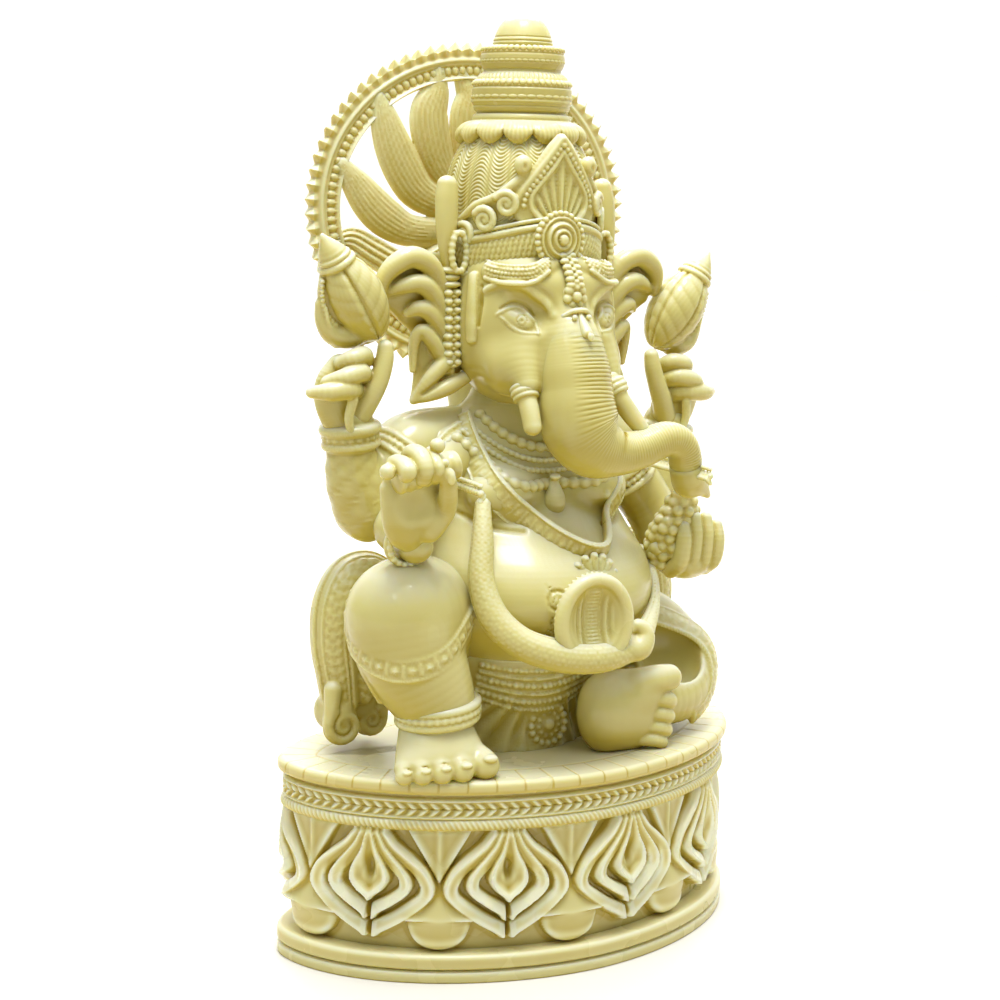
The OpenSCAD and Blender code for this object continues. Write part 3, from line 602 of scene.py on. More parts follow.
@made("crown_dome", "ornament_resin")
def crown_dome():
    profile = curve([[24.3, 232], [24.6, 238], [24.3, 244], [23.4, 249], [22, 253.5], [19.8, 258],
        [17, 261.4], [13, 263.5]], 6)
    def relief(a, w, z):
        # Upright locks of nested curved strokes
        locks = 22
        u = (a / TURN * locks) % 1 - 0.5
        lock = np.floor(a / TURN * locks)
        stroke = wave(z / 1.25 - 2.1 * np.cos(np.pi * u) * (1 - 2 * (lock % 2)) * 0.9)
        return 0.2 * stroke * np.cos(np.pi * u) ** 0.7 - 0.28 * bell(np.abs(u) - 0.5, 0.09)
    return turned(profile, relief, 900, 0.25)


@made("crown_band", "ornament_resin")
def crown_band():
    clay = Clay([-29, -18, 211], [29, 36, 240], 0.4)
    clay.stack([[0, 8.2, 219.5, 24.6, 22.5], [0, 8.4, 222, 25.4, 23.4], [0, 9, 228, 25.6, 24],
        [0, 9.5, 233, 25, 23.8], [0, 10, 236.5, 24, 23.4]])
    out = lambda p: (p - [0, 9, 0]) * [1, 1, 0]
    ring = np.array([[25.4 * math.sin(t), 8.6 - 24.0 * math.cos(t)]
        for t in np.linspace(-math.pi, math.pi, 49)])
    # The band rises over the forehead and dips at the sides
    sag = 1.6 - 5.8 * np.sin(np.linspace(-math.pi, math.pi, 49)) ** 2
    for z, w, h, kind in ((232.6, 1.1, 1.1, 0), (222.0, 1.3, 1.3, 0), (227.3, 4.1, 0.7, 1),
            (234.8, 0.7, 0.7, 0), (219.9, 0.8, 0.9, 0)):
        rows = np.c_[ring, z + sag, np.full((49, 2), [w, h])]
        ribs = ((lambda s, u, v: 0.34 * wave((s + 1.9 * u) / 1.75) * (v > 0) * (np.abs(u) < 0.86)) if kind
            else None)
        clay.tube(rows, out, 0.5, relief=ribs, pieces=2)
    return clay.skin()


def plane_curl(clay, centre, r, turns, start, tube, way, blend):
    """A scroll wound in an upright plane, from its rim in."""
    n = 26
    t = np.linspace(0, 1, n)
    a = start + way * t * turns * TURN
    q = r * (1 - t * 0.86)
    rows = np.stack([centre[0] + q * np.cos(a), np.full(n, centre[1]), centre[2] + q * np.sin(a),
        tube * (1 - 0.35 * t)], 1)
    clay.tube(rows, (0, -1, 0), blend, pieces=1)


@made("crown_plaque", "ornament_resin")
def crown_plaque():
    clay = Clay([-29, -23, 224], [29, 14, 264], 0.34)
    def bow(x):
        """How far the crest's face lies forward where it wraps the dome."""
        return -14.6 + 0.021 * x * x
    def row(x, z, r, lift=0.0):
        return [x, bow(x) - lift, z, r]
    back = curve([[0, 261, 0.2], [3.5, 257, 4], [8, 251, 8], [12.4, 244.5, 12.4], [13.6, 239.5, 13.6],
        [11, 234.5, 11], [5, 231.5, 5]], 5)
    for x, z, w in back:
        clay.tube([row(x, z, 1.7, -1.4) for x in (-w, -w / 2, 0, w / 2, w)], (0, -1, 0), 0.4, pieces=1)
    for s in (-1, 1):
        rim = [row(s * 0.4, 260.9, 1.0), row(s * 3.9, 256.4, 1.1), row(s * 8.4, 250.4, 1.1),
            row(s * 12.8, 244.2, 1.1), row(s * 14.1, 240, 1.0)]
        clay.tube(rim, blend=0.3)
        inner = [row(s * 0.2, 256.6, 0.75, 0.3), row(s * 3.2, 252.2, 0.75, 0.3),
            row(s * 7.2, 247.3, 0.75, 0.3), row(s * 9.9, 243.2, 0.75, 0.3), row(s * 9.8, 239, 0.75, 0.3),
            row(s * 6.5, 235.4, 0.75, 0.3), row(s * 2, 233.2, 0.7, 0.3)]
        clay.tube(inner, blend=0.3)
        mid = curve([row(s * 0.3, 259, 1, 0.4), row(s * 3.7, 254.4, 1, 0.4), row(s * 7.9, 248.9, 1, 0.4),
            row(s * 11.5, 243.6, 1, 0.4), row(s * 12.3, 240, 1, 0.4)], 6)
        clay.beads(mid, 0.85, 1.75, 0.15)
        # Knob beside the peak, and the smooth rim that sweeps down from it over three scrolls
        clay.egg((s * 12.2, bow(12.2) + 0.8, 252.6), (2.9, 2.4, 3.3), 0.6)
        clay.egg((s * 12.8, bow(12.2) - 2.2, 252.2), (1.0, 1.2, 1.6), 0.4, cut=True)
        sweep = [[s * 11.2, -10.5, 249.8, 1.6], [s * 15.4, -8.4, 245.6, 1.7], [s * 19, -5.4, 242.4, 1.5],
            [s * 22.6, 0, 239.8, 1.4], [s * 24.6, 6, 235, 1.4]]
        clay.tube(sweep, blend=0.8)
        clay.tube([[s * 13.2, -9.0, 244.5, 3.2, 1.4], [s * 17.5, -5.6, 240, 4.2, 1.4],
            [s * 22, 0.5, 236, 4.0, 1.4]], lambda p: (p - [0, 10, 0]) * [1, 1, 0], 0.8)
        for cx, cy, cz, r in ((16.6, -8.6, 240.4, 3.9), (21.2, -3.7, 235.4, 3.9),
                (24.2, 3.0, 230.6, 3.7)):
            middle = np.array([s * cx, cy, cz])
            aim = unit([s * cx, cy - 10, 0.0])
            t = np.linspace(0, 1, 26)
            a = 0.6 + t * 1.6 * TURN
            q = r * (1 - 0.84 * t)
            side = np.array([-aim[1], aim[0], 0.0]) * s
            wound = np.outer(q * np.cos(a), side) + np.outer(q * np.sin(a), [0, 0, 1])
            clay.cord(middle + aim * 0.9 + wound, 1.2 - 0.3 * t, blend=0.3)
            clay.egg(middle + aim * 0.8, 0.9, 0.3)
    def ribs(x, y, z):
        fan = np.arctan2(x, z - 229)
        inside = (share((9.2 - np.abs(x)) / 1.0) * share((254.4 - z - 1.15 * np.abs(x)) / 1.5)
            * share((z - 234 - 0.1 * x * x * 0.3) / 2))
        return inside * (y < -9) * (0.34 * np.cos(fan * 34) - 0.35)
    clay.relief([-10, -19, 233], [10, -9, 256], ribs)
    return clay.skin()


@made("crown_medallion", "ornament_resin")
def crown_medallion():
    clay = Clay([-13, -24, 219], [9, -8, 242], 0.3)
    c = np.array([-2.0, -16.0, 229.8])
    clay.egg(c, (8.6, 3.4, 8.6), 0.2)
    for k in range(26):
        a = TURN * k / 26
        clay.egg(c + [8.3 * math.sin(a), -1.1, 8.3 * math.cos(a)], (0.98, 1.2, 0.98), 0.2)
    clay.egg(c + [0, -3.2, 0], (1.9, 1.5, 1.9), 0.3)
    def rings(x, y, z):
        q = np.hypot(x - c[0], z - c[2])
        return (y < -15) * (0.42 * wave((q - 0.7) / 2.1) * (q < 7.2) * (q > 1.6))
    clay.relief([-11, -22, 220], [7, -14, 240], rings)
    return clay.skin()


# ---- halo ----

def halo_frame():
    """The halo's middle, and its half width and half height over the teeth."""
    mid = (HALO[0] + HALO[1]) / 2
    return mid, (HALO[1][0] - HALO[0][0]) / 2, (HALO[1][2] - HALO[0][2]) / 2


@made("halo_ring halo_teeth", "halo_resin")
def halo_ring():
    mid, wide, high = halo_frame()
    n = int(1500 / COARSER)
    a = np.linspace(0, TURN, n, endpoint=False)
    # Lengths along the ring's middle, for evenly spaced beads and teeth
    step = np.diff(np.append(a, TURN))
    steps = np.hypot(step * (wide - 8) * np.sin(a), step * (high - 8) * np.cos(a))
    walk = np.concatenate([[0], np.cumsum(steps)])
    s = walk[:-1] / walk[-1]
    teeth, bead_count = 76, 112
    across = np.concatenate([np.linspace(0, 1, 34), np.linspace(1, 0, 9)[1:-1]])
    rings = np.empty((n, len(across), 3))
    fresh = np.zeros((n, len(across)))
    inner, face, back = 12.8, 3.0, 2.2
    for i, (t, front) in enumerate(zip(across, [True] * 34 + [False] * 7)):
        inset = inner * (1 - t)
        point = np.abs((s * teeth) % 1 - 0.5) * 2
        if front:
            rim = bell(inset - 11.9, 0.7) + bell(inset - 6.0, 0.7) + 0.55 * bell(inset - 7.6, 0.35)
            bead = np.sqrt(np.maximum(1 - ((inset - 9.5) / 1.45) ** 2
                - (np.abs((s * bead_count) % 1 - 0.5) * 2) ** 2, 0))
            pyramid = share(1 - np.abs(inset - 2.4) / 2.6) * share(1 - point * 1.1)
            dip = 0.7 * share(1 - np.abs(inset - 9.5) / 2.2) ** 0.5
            y = (-(face * 0.62 + 0.9 * rim + 1.15 * bead + 1.5 * pyramid - dip)
                + 0.8 * share((inset - 12.1) / 0.7) ** 2)
            fresh[:, i] = 0.45 * (rim + bead + pyramid) - 0.55 * dip
        else:
            y = np.full(n, back) - 0.6 * (4 * (t - 0.5) ** 2) ** 3
        # The outer edge runs in and out as teeth
        grow = share((3.0 - inset) / 3.0)
        cut = inset + grow * 3.0 * (1 - share(1 - point * 1.15))
        rings[:, i, 0] = mid[0] + (wide - cut) * np.cos(a)
        rings[:, i, 2] = mid[2] + (high - cut) * np.sin(a)
        rings[:, i, 1] = mid[1] + y
    m, k = len(across), np.arange(n)[:, None] * len(across)
    i, j = np.arange(m), (np.arange(m) + 1) % m
    over = ((np.arange(n) + 1) % n)[:, None] * m
    quads = np.stack([k + i, k + j, over + j, over + i], -1).reshape(-1, 4)
    return rings.reshape(-1, 3), [quads], fresh.ravel()


# The middle lines of the halo's leaves on the idol's right, as x and z with a half width
LEAVES = [
    [[-48.5, 252, 2.4], [-43.4, 245.5, 5.2], [-38.0, 239.1, 6.6], [-31.7, 234.2, 6.6],
        [-23.3, 230.6, 5.4], [-9, 230, 4.5]],
    [[-35.5, 274, 2.4], [-33.4, 267.5, 5.0], [-30.1, 258.4, 6.8], [-25.5, 249.8, 7.2],
        [-19.7, 243.2, 6.4], [-8, 238, 4.5]],
    [[-13.0, 283, 2.8], [-13.8, 276.0, 5.2], [-16.4, 268.8, 7.2], [-15.2, 260.1, 7.2],
        [-12.1, 252.5, 6.4], [-6, 245, 4.5]],
    [[4.2, 283, 2.4], [1.2, 277, 4.6], [-1.2, 270, 6.6], [-1.2, 261, 6.8], [0, 252, 5.5], [2, 244, 4.5]]]


@made("halo_fan", "halo_resin")
def halo_fan():
    mid, wide, high = halo_frame()
    clay = Clay([-53, mid[1] - 8, 203], [53, mid[1] + 6, 287], 0.5)
    y0 = mid[1]
    for side in (-1, 1):
        for k, leaf in enumerate(LEAVES):
            y = y0 - 0.6 + 0.35 * k
            rows = [[side * x, y - 1.2 * math.sin(math.pi * i / 5), z, w, 2.4]
                for i, (x, z, w) in enumerate(leaf)]
            veins = lambda s, u, v: 0.13 * wave(u * 4.2) * (np.abs(u) < 0.9)
            clay.tube(rows, (0, -1, 0), 0.3, relief=veins)
        # A gathered ribbon sweeps out below the leaves
        ribbon = [[side * 50, y0, 227.0, 2.4, 1.8], [side * 44.5, y0 - 0.4, 227.6, 4.2, 2.2],
            [side * 37, y0 - 1.4, 223.4, 5.0, 2.6], [side * 28, y0 - 2, 219.2, 5.0, 2.8],
            [side * 19, y0 - 2.4, 218.4, 4.6, 3], [side * 9, y0 - 2.6, 223, 4.4, 3]]
        clay.tube(ribbon, (0, -1, 0), 0.3,
            relief=lambda s, u, v: 0.42 * wave(u * 2.3) * (np.abs(u) < 0.95))
    clay.tube([[0, y0 + 0.5, 205, 20, 3], [0, y0 + 0.5, 222, 20, 3], [0, y0 + 0.5, 236, 14, 3]],
        (0, -1, 0), 2)
    return clay.skin()


@made("halo_stem", "halo_resin")
def halo_stem():
    clay = Clay([-20, 6, 146], [20, 49, 240], 0.7)
    clay.tube([[0, 40, 232, 9, 5], [0, 38, 212, 10.5, 6], [0, 35.5, 190, 12, 7], [0, 30, 172, 13, 8],
        [0, 22, 156, 13, 8]], (0, 1, 0))
    clay.tube([[0, 18, 205, 12, 10], [0, 36, 206, 10, 9]], blend=5, pieces=2)
    clay.relief([-20, 6, 146], [20, 49, 236],
        lambda x, y, z: 0.3 * np.cos(x * 1.6) * (y > 30) * (np.abs(x) < 9))
    return clay.skin()


# ---- body ----

def scroll_band(pitch, rise, rims):
    """Relief for a flat band: raised rims and a row of small flowers between leaf strokes."""
    def height(s, u, v):
        q = (s / pitch) % 1 - 0.5
        flower = np.sqrt((q * pitch / 1.5) ** 2 + (u / 0.42) ** 2)
        petals = share(1.15 - flower) * (0.75 + 0.25 * np.cos(5 * np.arctan2(u / 0.42, q * pitch / 1.5)))
        leaf = 0.5 * np.exp(-((np.abs(q) - 0.5) * pitch / 0.5) ** 2) * (np.abs(u) < 0.6)
        rim = bell(np.abs(u) - 0.84, 0.1)
        return (v > 0) * (rise * np.maximum(petals, leaf) + rims * rim - 0.15)
    return height


TORSO = [[0, 8, 92, 18, 16], [0, 4, 97, 31, 28.5], [0, 2, 106, 40, 37], [0, 1, 116, 42.3, 39.8],
    [0, 2, 126, 41, 37.5], [0, 5, 136, 36.5, 31], [0, 9, 146, 34, 25.5], [0, 11, 156, 37, 22.5],
    [0, 12, 164, 36.5, 19.5], [0, 12, 170, 29, 16.5], [0, 11, 176, 18, 13.5], [0, 10, 184, 14, 12]]


def torso_clay(step):
    clay = Clay([-48, -42, 90], [48, 44, 186], step)
    clay.stack(TORSO)
    for s in (-1, 1):
        clay.egg((s * 31, 11, 160), (11, 12, 12), 6)
        clay.egg((s * 17, -10.5, 149.5), (12.5, 8.5, 8.5), 4)
        clay.egg((s * 17.5, -17.6, 148), (1.6, 2.2, 1.6), 1.2)
    return clay


@made("torso")
def torso():
    clay = torso_clay(0.5)
    # Navel, and the crease where the breast rests on the belly
    navel = [-12, 0, 119] + circle(30, 3.1, [1, 0, 0], [0, 0, 1])
    clay.cord(clay.drape(navel, back=45, pieces=1), 0.45, blend=0.6, cut=True)
    for s in (-1, 1):
        crease = clay.drape([[s * 31, -5, 144], [s * 24, -12, 139.5], [s * 15, -19.5, 138.5]], back=20)
        clay.cord(crease, 0.6, blend=1.2, cut=True)
        # Bead band across the shoulder and a plain edge under it
        for dz, r in ((0, 1.15), (-2.4, 0.9), (2.2, 0.8)):
            band = clay.land([[s * x, -40, z + dz]
                for x, z in zip(np.linspace(24, 43, 16),
                169 - 0.016 * (np.linspace(24, 43, 16) - 20) ** 2 * 1.6)], far=70)
            clay.beads(band, r, 1.75 if r > 1 else 1.2, 0.25)
    # Lines pressed into the belly beside the hood
    for k in range(4):
        line = clay.drape([[-15 + 1.1 * k, -30, 124 - k], [-13 + 1.2 * k, -30, 114],
            [-16 + 1.3 * k, -30, 103 + k]], back=25)
        clay.cord(line, 0.22, blend=0.3, cut=True)
    return clay.skin()


@made("chest_bib", "ornament_resin")
def chest_bib():
    body = torso_clay(0.8)
    path = [[-23, 6, 173], [-27, -6, 163], [-25.5, -16, 153], [-19, -25, 143], [-9.5, -32, 135],
        [2, -35, 130], [12, -33, 130.5], [20, -27, 137], [25, -17, 147], [26, -6, 159], [24, 6, 173]]
    rows = curve(path, 6)
    heart = np.array([0, 10, 144.0])
    away = unit(heart - rows)
    q = evened(body.land(rows - away * 14, away, 45), 6)
    clay = Clay([-36, -44, 126], [36, 20, 180], 0.42)
    width = 5.0 * np.clip(np.sin(np.linspace(0.42, np.pi - 0.42, len(q))) + 0.25, 0.6, 1)
    # Away from the chest, so that the band lies flat on it
    out = lambda p: (p - [0, 8, 152]) * [1, 1.1, 1]
    clay.tube(np.c_[q, width, np.full(len(q), 1.25)], out, relief=scroll_band(4.4, 0.55, 0.75), pieces=1)
    return clay.skin()


@made("necklace_beads", "ornament_resin")
def necklace_beads():
    body = torso_clay(0.8)
    clay = Clay([-34, -40, 140], [34, 20, 184], 0.4)
    for w, z0, z1, y1, r, pitch in ((20, 178, 163.5, -13, 2.0, 3.4), (23.5, 174.5, 158.5, -16, 1.2, 2.0),
            (25.5, 173, 154.5, -18, 1.2, 2.0), (28, 172, 149.5, -21, 2.1, 3.6)):
        a = np.linspace(-1.3, 1.3, 40)
        rows = np.stack([w * np.sin(a), 8 - (8 - y1) * np.cos(a), z1 + (z0 - z1) * (1 - np.cos(a))], 1)
        away = unit(np.array([0, 12, 160.0]) - rows)
        rows = evened(body.land(rows - away * 12, away, 40), 6)
        clay.cord(rows, r * 0.7)
        clay.beads(rows, r, pitch, 0.2)
    return clay.skin()


@made("pendant", "ornament_resin")
def pendant():
    body = torso_clay(0.8)
    y = body.land([[-1, -50, 147.0]])[0][1]
    clay = Clay([-10, y - 8, 136], [8, y + 8, 158], 0.35)
    clay.tube([[-1, y + 0.2, 153.5, 1.2], [-1, y - 1, 150, 2.4], [-1, y - 0.8, 146.2, 3.7],
        [-1, y + 0.4, 142.6, 2.6]], (0, -1, 0), 0.4)
    clay.egg((-1, y - 1, 154.6), (1.9, 1.7, 1.2), 0.3)
    return clay.skin()


SERPENT = [[-27, -15, 147], [-30, -20, 136], [-32.5, -24, 125], [-31, -29, 114.5], [-25, -34.5, 107],
    [-16, -38.8, 103], [-6, -41, 101], [6, -41.5, 101.2], [17, -38.5, 104], [25, -33.5, 107.5],
    [33, -26, 114], [38, -17, 121], [40, -7, 127]]


@made("serpent_belt", "ornament_resin")
def serpent_belt():
    clay = Clay([-44, -48, 88], [46, 4, 152], 0.42)
    widths = [2.6, 3.6, 4.2, 4.8, 5.0, 5.2, 5.2, 5.0, 4.2, 2.8, 1.7, 1.3, 1.1]
    rows = [[x, y, z, w] for (x, y, z), w in zip(SERPENT, widths)]
    def scales(s, u, v):
        # Small scales in rows along the back, smooth below
        a = np.arctan2(u, v)
        back = share((1.25 - np.abs(a)) / 0.4)
        row = np.floor(a * 3.2)
        return (back * 0.13 * (wave(s / 1.7 + 0.5 * (row % 2))
            * np.abs(np.cos(np.pi * (a * 3.2 - row - 0.5)))) - 0.45 * bell(np.abs(a) - 1.35, 0.09))
    clay.tube(rows, lambda p: (p - [0, 20, 140]) * [0.6, 1, 0] + [0, 0, 0.2], relief=scales)
    # The tail's knot beside the hood
    clay.tube([[11, -42, 101.5, 3.6], [15.5, -42.6, 102.5, 3.9], [17.6, -42, 106.2, 3.2],
        [15.4, -41.5, 109.4, 2.2], [13.4, -41.5, 108.2, 1.2]], (0, -1, 0), 0.8)
    return clay.skin()


@made("serpent_hood hood_fan", "ornament_resin")
def serpent_hood():
    body = torso_clay(0.9)
    clay = Clay([-18, -50, 92], [14, -26, 140], 0.36)
    # An upright oval dish with a thick rolled rim, facing forward and a little to the idol's right
    c = np.array([-2.2, -41.5, 112.6])
    out = unit([-0.12, -1, 0.06])
    side = unit(np.cross([0, 0, 1], out))
    rise = np.cross(out, side)
    clay.egg(c + out * -0.5, (12.6, 14.6, 4.4), 0.5, tilt=[side, rise, out])
    clay.egg(c + out * 5.2, (9.6, 11.8, 6.0), 0.8, cut=True, tilt=[side, rise, out])
    a = np.linspace(0, TURN, 48)
    rim = (c + np.outer(11.2 * np.cos(a), side) + np.outer(13.3 * np.sin(a), rise)
        + np.outer(1.2 + 1.0 * np.sin(a), out))
    clay.cord(rim, 2.5 - 0.25 * np.sin(a), blend=0.6)
    def grooves(x, y, z):
        u = (x - c[0]) / 7.2
        v = (z - c[2]) / 10.5
        inside = share((1 - u * u - v * v) * 4)
        middle = share(1 - np.abs(x - c[0]) / 2.2) ** 0.5
        belly = 0.55 * middle + 0.22 * middle * wave(z / 1.15)
        return inside * (belly + 0.28 * wave((x - c[0]) / 2.2) * (np.abs(x - c[0]) > 2.4)) * (y < -36)
    clay.relief([-16, -48, 98], [12, -34, 127], grooves)
    # Beads round the rim's outer edge
    for t in np.linspace(-1.2, 4.3, 44):
        p = c + side * 13.2 * math.cos(t) + rise * 15.2 * math.sin(t) + out * 0.6
        clay.egg(p, 0.62, 0.2)
    # A fan of petals stands over the hood, against the belly
    y = body.land([[3.4, -60, 129.0]])[0][1]
    for k, t in enumerate(np.linspace(-1.2, 1.2, 7)):
        tip = np.array([3.4 + 8.6 * math.sin(t), y - 0.6 + 0.15 * abs(k - 3), 122.6 + 9 * math.cos(t)])
        root = np.array([3.4 + 3 * math.sin(t), y - 1.6, 122 + 3 * math.cos(t)])
        clay.tube([[*root, 0.9, 0.9], [*(root * 0.35 + tip * 0.65), 1.5, 1.1], [*tip, 1.3, 1.1]],
            (0, -1, 0), 0.15)
        clay.egg(tip + [0, -1.0, 0], (0.8, 0.7, 0.8), 0.2)
    return clay.skin()


@made("seat_block front_drape waist_belt belt_medallion", "ornament_resin")
def seat():
    clay = Clay([-40, -24, 64], [40, 38, 108], 0.5)
    clay.stack([[0, 10, 64.4, 34, 23], [0, 9, 75, 31.5, 22], [0, 8, 88, 34, 26], [0, 8, 97, 35, 28],
        [0, 8, 105, 30, 24]])
    clay.stack([[-4, -2, 64.4, 21, 15], [-4, -2, 72, 19.6, 14], [-4, -4, 84, 20, 14.6],
        [-4, -5, 96, 22, 15]], 1.5)
    def folds(x, y, z):
        # Pleats fan out from the middle of the waist
        t = (x + 3) / (7.5 + 0.42 * (88 - z))
        front = share((2 - y) / 4) * share((83 - z) / 2) * share((np.abs(x + 3) - 6) / 2)
        return front * (0.55 * wave(t * 2.4))
    clay.relief([-30, -24, 65], [30, 4, 84], folds)
    # Rows of beads and cords sag across the waist
    for z0, r, sag, pitch in ((94.5, 0.95, 2.5, 1.8), (92.3, 0.8, 3, 0), (90.2, 1.15, 3.4, 2.1),
            (87.8, 0.7, 3.8, 0), (85.6, 1.05, 4.4, 2.0), (83.4, 0.8, 5, 1.5)):
        x = np.linspace(-24.5, 16.5, 30)
        rows = clay.land(np.stack([x, np.full(30, -40), z0 - sag * (1 - ((x + 4) / 20.5) ** 2)], 1),
            far=60)
        if pitch:
            clay.beads(rows, r, pitch, 0.25)
        else:
            clay.cord(rows, r, blend=0.3)
    # Beaded flower where the waist cloth gathers
    x0, z0 = -1.2, 73.0
    y0 = clay.land([[x0, -40, z0]])[0][1]
    clay.egg((x0, y0 + 0.6, z0), (6.6, 2.0, 6.6), 0.4)
    for n, r, size in ((16, 6.5, 1.2), (11, 3.9, 0.95)):
        for k in range(n):
            t = TURN * k / n
            clay.egg((x0 + r * math.sin(t), y0 - 0.6, z0 + r * math.cos(t)), size, 0.2)
    clay.egg((x0, y0 - 1.2, z0), (2.1, 1.3, 2.1), 0.3)
    clay.stand(UNDER_DECK)
    return clay.skin()


def herringbone(s, u, v):
    """Relief for the bolster: slanting leaf strokes in a band along its middle, between smooth flowing
    ridges."""
    band = share((0.4 - np.abs(u + 0.1)) / 0.08)
    stroke = 0.4 * wave(s / 3.0 + 1.3 * np.abs(u + 0.1)) * band
    edge = 0.45 * bell(np.abs(u + 0.1) - 0.5, 0.06) + 0.4 * bell(np.abs(u) - 0.8, 0.07)
    return (v > -0.2) * (stroke + edge - 0.35 * bell(np.abs(u) - 0.66, 0.05))


@made_pair("right_volute", "left_volute", "ornament_resin")
def bolster():
    """The draped bolster."""
    clay = Clay([-76, 0, 64], [-30, 36, 130], 0.42)
    outward = lambda p: (p - [-44, 34, 92]) * [1, 1.6, 0.9]
    clay.tube([[-38, 21, 108, 7, 5], [-44, 19, 117.5, 7.5, 5.6], [-51, 17.5, 121.4, 8, 5.6],
        [-58, 16.5, 119.6, 8, 5.6], [-62.6, 16, 111, 8, 5.4], [-63.4, 16, 100, 7.5, 5.2],
        [-62, 16, 90, 7, 5], [-60.6, 16.5, 81, 6.4, 5]], outward, relief=herringbone)
    clay.tube([[-52, 21, 118, 9, 6], [-53, 21, 98, 9.5, 6.5], [-52, 21, 76, 8, 6]], (0, 1, 0), 1.5)
    clay.tube([[-50, 15.5, 112, 4.6, 3], [-54.5, 14.6, 102, 4.6, 3], [-55, 14.4, 92, 4.2, 3],
        [-52.5, 14.6, 82, 3.8, 3]], (0, -1, 0), 0.8,
        relief=lambda s, u, v: 0.35 * wave(s / 3.2 + 0.8 * u) * (v > 0) * (np.abs(u) < 0.7))
    # Two scrolls end the bolster on the deck
    for x, y, z, r, way in ((-61.8, 11.5, 73.4, 7.6, 1), (-49.2, 17, 72.4, 6.4, -1)):
        clay.tube([[x, y + 3.5, z + 3, r - 2.4, r - 1.4], [x, y + 9, z + 3, r - 2, r - 1]], (0, 0, 1),
            1.2, pieces=1)
        clay.egg((x, y + 2.4, z), (r - 1.4, 3.6, r - 0.6), 0.8)
        plane_curl(clay, (x, y - 0.4, z), r - 1.6, 1.7, 2.2 if way > 0 else 0.9, 1.7, way, 0.25)
        clay.tube([[x - way * 3.4, y + 1, z + 12, 3.0], [x - way * 4.4, y, z + 6, 2.4],
            [x - way * (r - 2), y - 0.4, z + 2, 1.7]], blend=0.8)
    clay.stand(UNDER_DECK)
    return clay.skin()


# ---- legs and feet ----

@made("right_leg")
def right_leg():
    clay = Clay([-74, -36, 66], [-8, 28, 134], 0.5)
    clay.tube([[-20, 12, 101, 15], [-34, 2, 108, 17], [-46, -8, 113, 18.3], [-53.5, -13, 113.5, 17.5]],
        pieces=4)
    clay.tube([[-54, -13, 113.5, 17.6], [-52.5, -14.6, 104, 16.8], [-49, -16.6, 95, 15],
        [-45.2, -18.2, 87, 12.6], [-43.6, -18.6, 80, 11], [-43.8, -18.4, 70, 10]], (0, 1, 0), 3, pieces=4)
    # Ornamented border of the leg cloth, slanting across the shin
    t = np.linspace(-2.7, 1.6, 30)
    centre = np.array([-51, -14.6, 100.0])
    ring = (centre + np.stack([24 * np.sin(t), -24 * np.cos(t), 10.5 + 7.0 * np.sin(t) - 8.0 * np.cos(t)],
        1))
    rows = curve(evened(clay.land(ring, unit((centre - ring) * [1, 1, 0]), 34), 4), 3)
    clay.cord(rows, (3.6, 1.0), lambda p: (p - centre) * [1, 1, 0], 0.2,
        relief=scroll_band(5.2, 0.8, 0.3))
    for dz in (-3.1, 3.1):
        clay.cord(rows + [0, 0, dz], 0.85, blend=0.5)
    # Folds of the cloth behind the knee
    for k in range(3):
        fold = clay.land([[-80, -2 - 2.2 * k, 122 - 3 * k], [-80, -4 - 2.2 * k, 110],
            [-80, -8 - 2 * k, 98 - k], [-76, -12, 88]], unit([1, 0.05, -0.1]), 50)
        clay.tube(np.c_[fold, np.full(4, 0.5)], blend=0.8)
    return clay.skin()


@made("right_anklet", "ornament_resin")
def right_anklet():
    clay = Clay([-60, -36, 76], [-28, -2, 91], 0.35)
    for z, r, w, h in ((85.9, 12.3, 1.5, 1.5), (81.4, 12.2, 1.5, 1.5), (83.6, 12.5, 1.3, 1.2)):
        ring = [-44.2, -18.4, z] + circle(40, r, [1, 0, 0.1], [0, 1, 0])
        clay.cord(ring, (w, h), (0, 0, 1), 0.2)
        if r == 12.5:
            clay.beads(ring, 1.5, 2.2, 0.2)
    return clay.skin()


@made("right_foot")
def right_foot():
    clay = Clay([-72, -46, 64], [-28, -4, 86], 0.4)
    clay.tube([[-44.2, -16.5, 79, 11, 10], [-45.5, -20.5, 75.5, 12.4, 9.5], [-47.2, -26, 71.4, 14.4, 7],
        [-48.2, -29.5, 69.4, 15.4, 5]], (0, 0, 1), pieces=4)
    toes = [(-36.9, -29.5, 69.7, -36.2, -34.4, 68.9, 4.6), (-44.2, -30.5, 69.2, -44.2, -34.4, 68.2, 3.7),
        (-50.2, -29.4, 68.8, -50.6, -33.0, 67.8, 3.4), (-55.6, -27.8, 68.4, -56.4, -31.0, 67.4, 3.1),
        (-60.2, -25.6, 68.0, -61.4, -28.4, 67.0, 2.8)]
    for x, y, z, x2, y2, z2, r in toes:
        clay.tube([[x, y, z, r * 0.95], [(x + x2) / 2, (y + y2) / 2, z + 0.4, r * 0.94], [x2, y2, z2, r]],
            blend=1.3, pieces=3)
    for x, y, z, x2, y2, z2, r in toes:
        # Toenail
        clay.egg((x2, y2 - r * 0.72, z2 + r * 0.62), (r * 0.52, r * 0.4, r * 0.3), 0.3)
        clay.tube([[x2 - r * 0.5, y2 - r * 0.55, z2 + r * 0.86, 0.22],
            [x2, y2 - r * 0.3, z2 + r * 1.0, 0.22], [x2 + r * 0.5, y2 - r * 0.55, z2 + r * 0.86, 0.22]],
            blend=0.2, cut=True, pieces=3)
    clay.stand(UNDER_DECK - 0.05, 0.4)
    clay.slab([-90, -60, 83.0], [0, 20, 100], cut=True)
    return clay.skin()


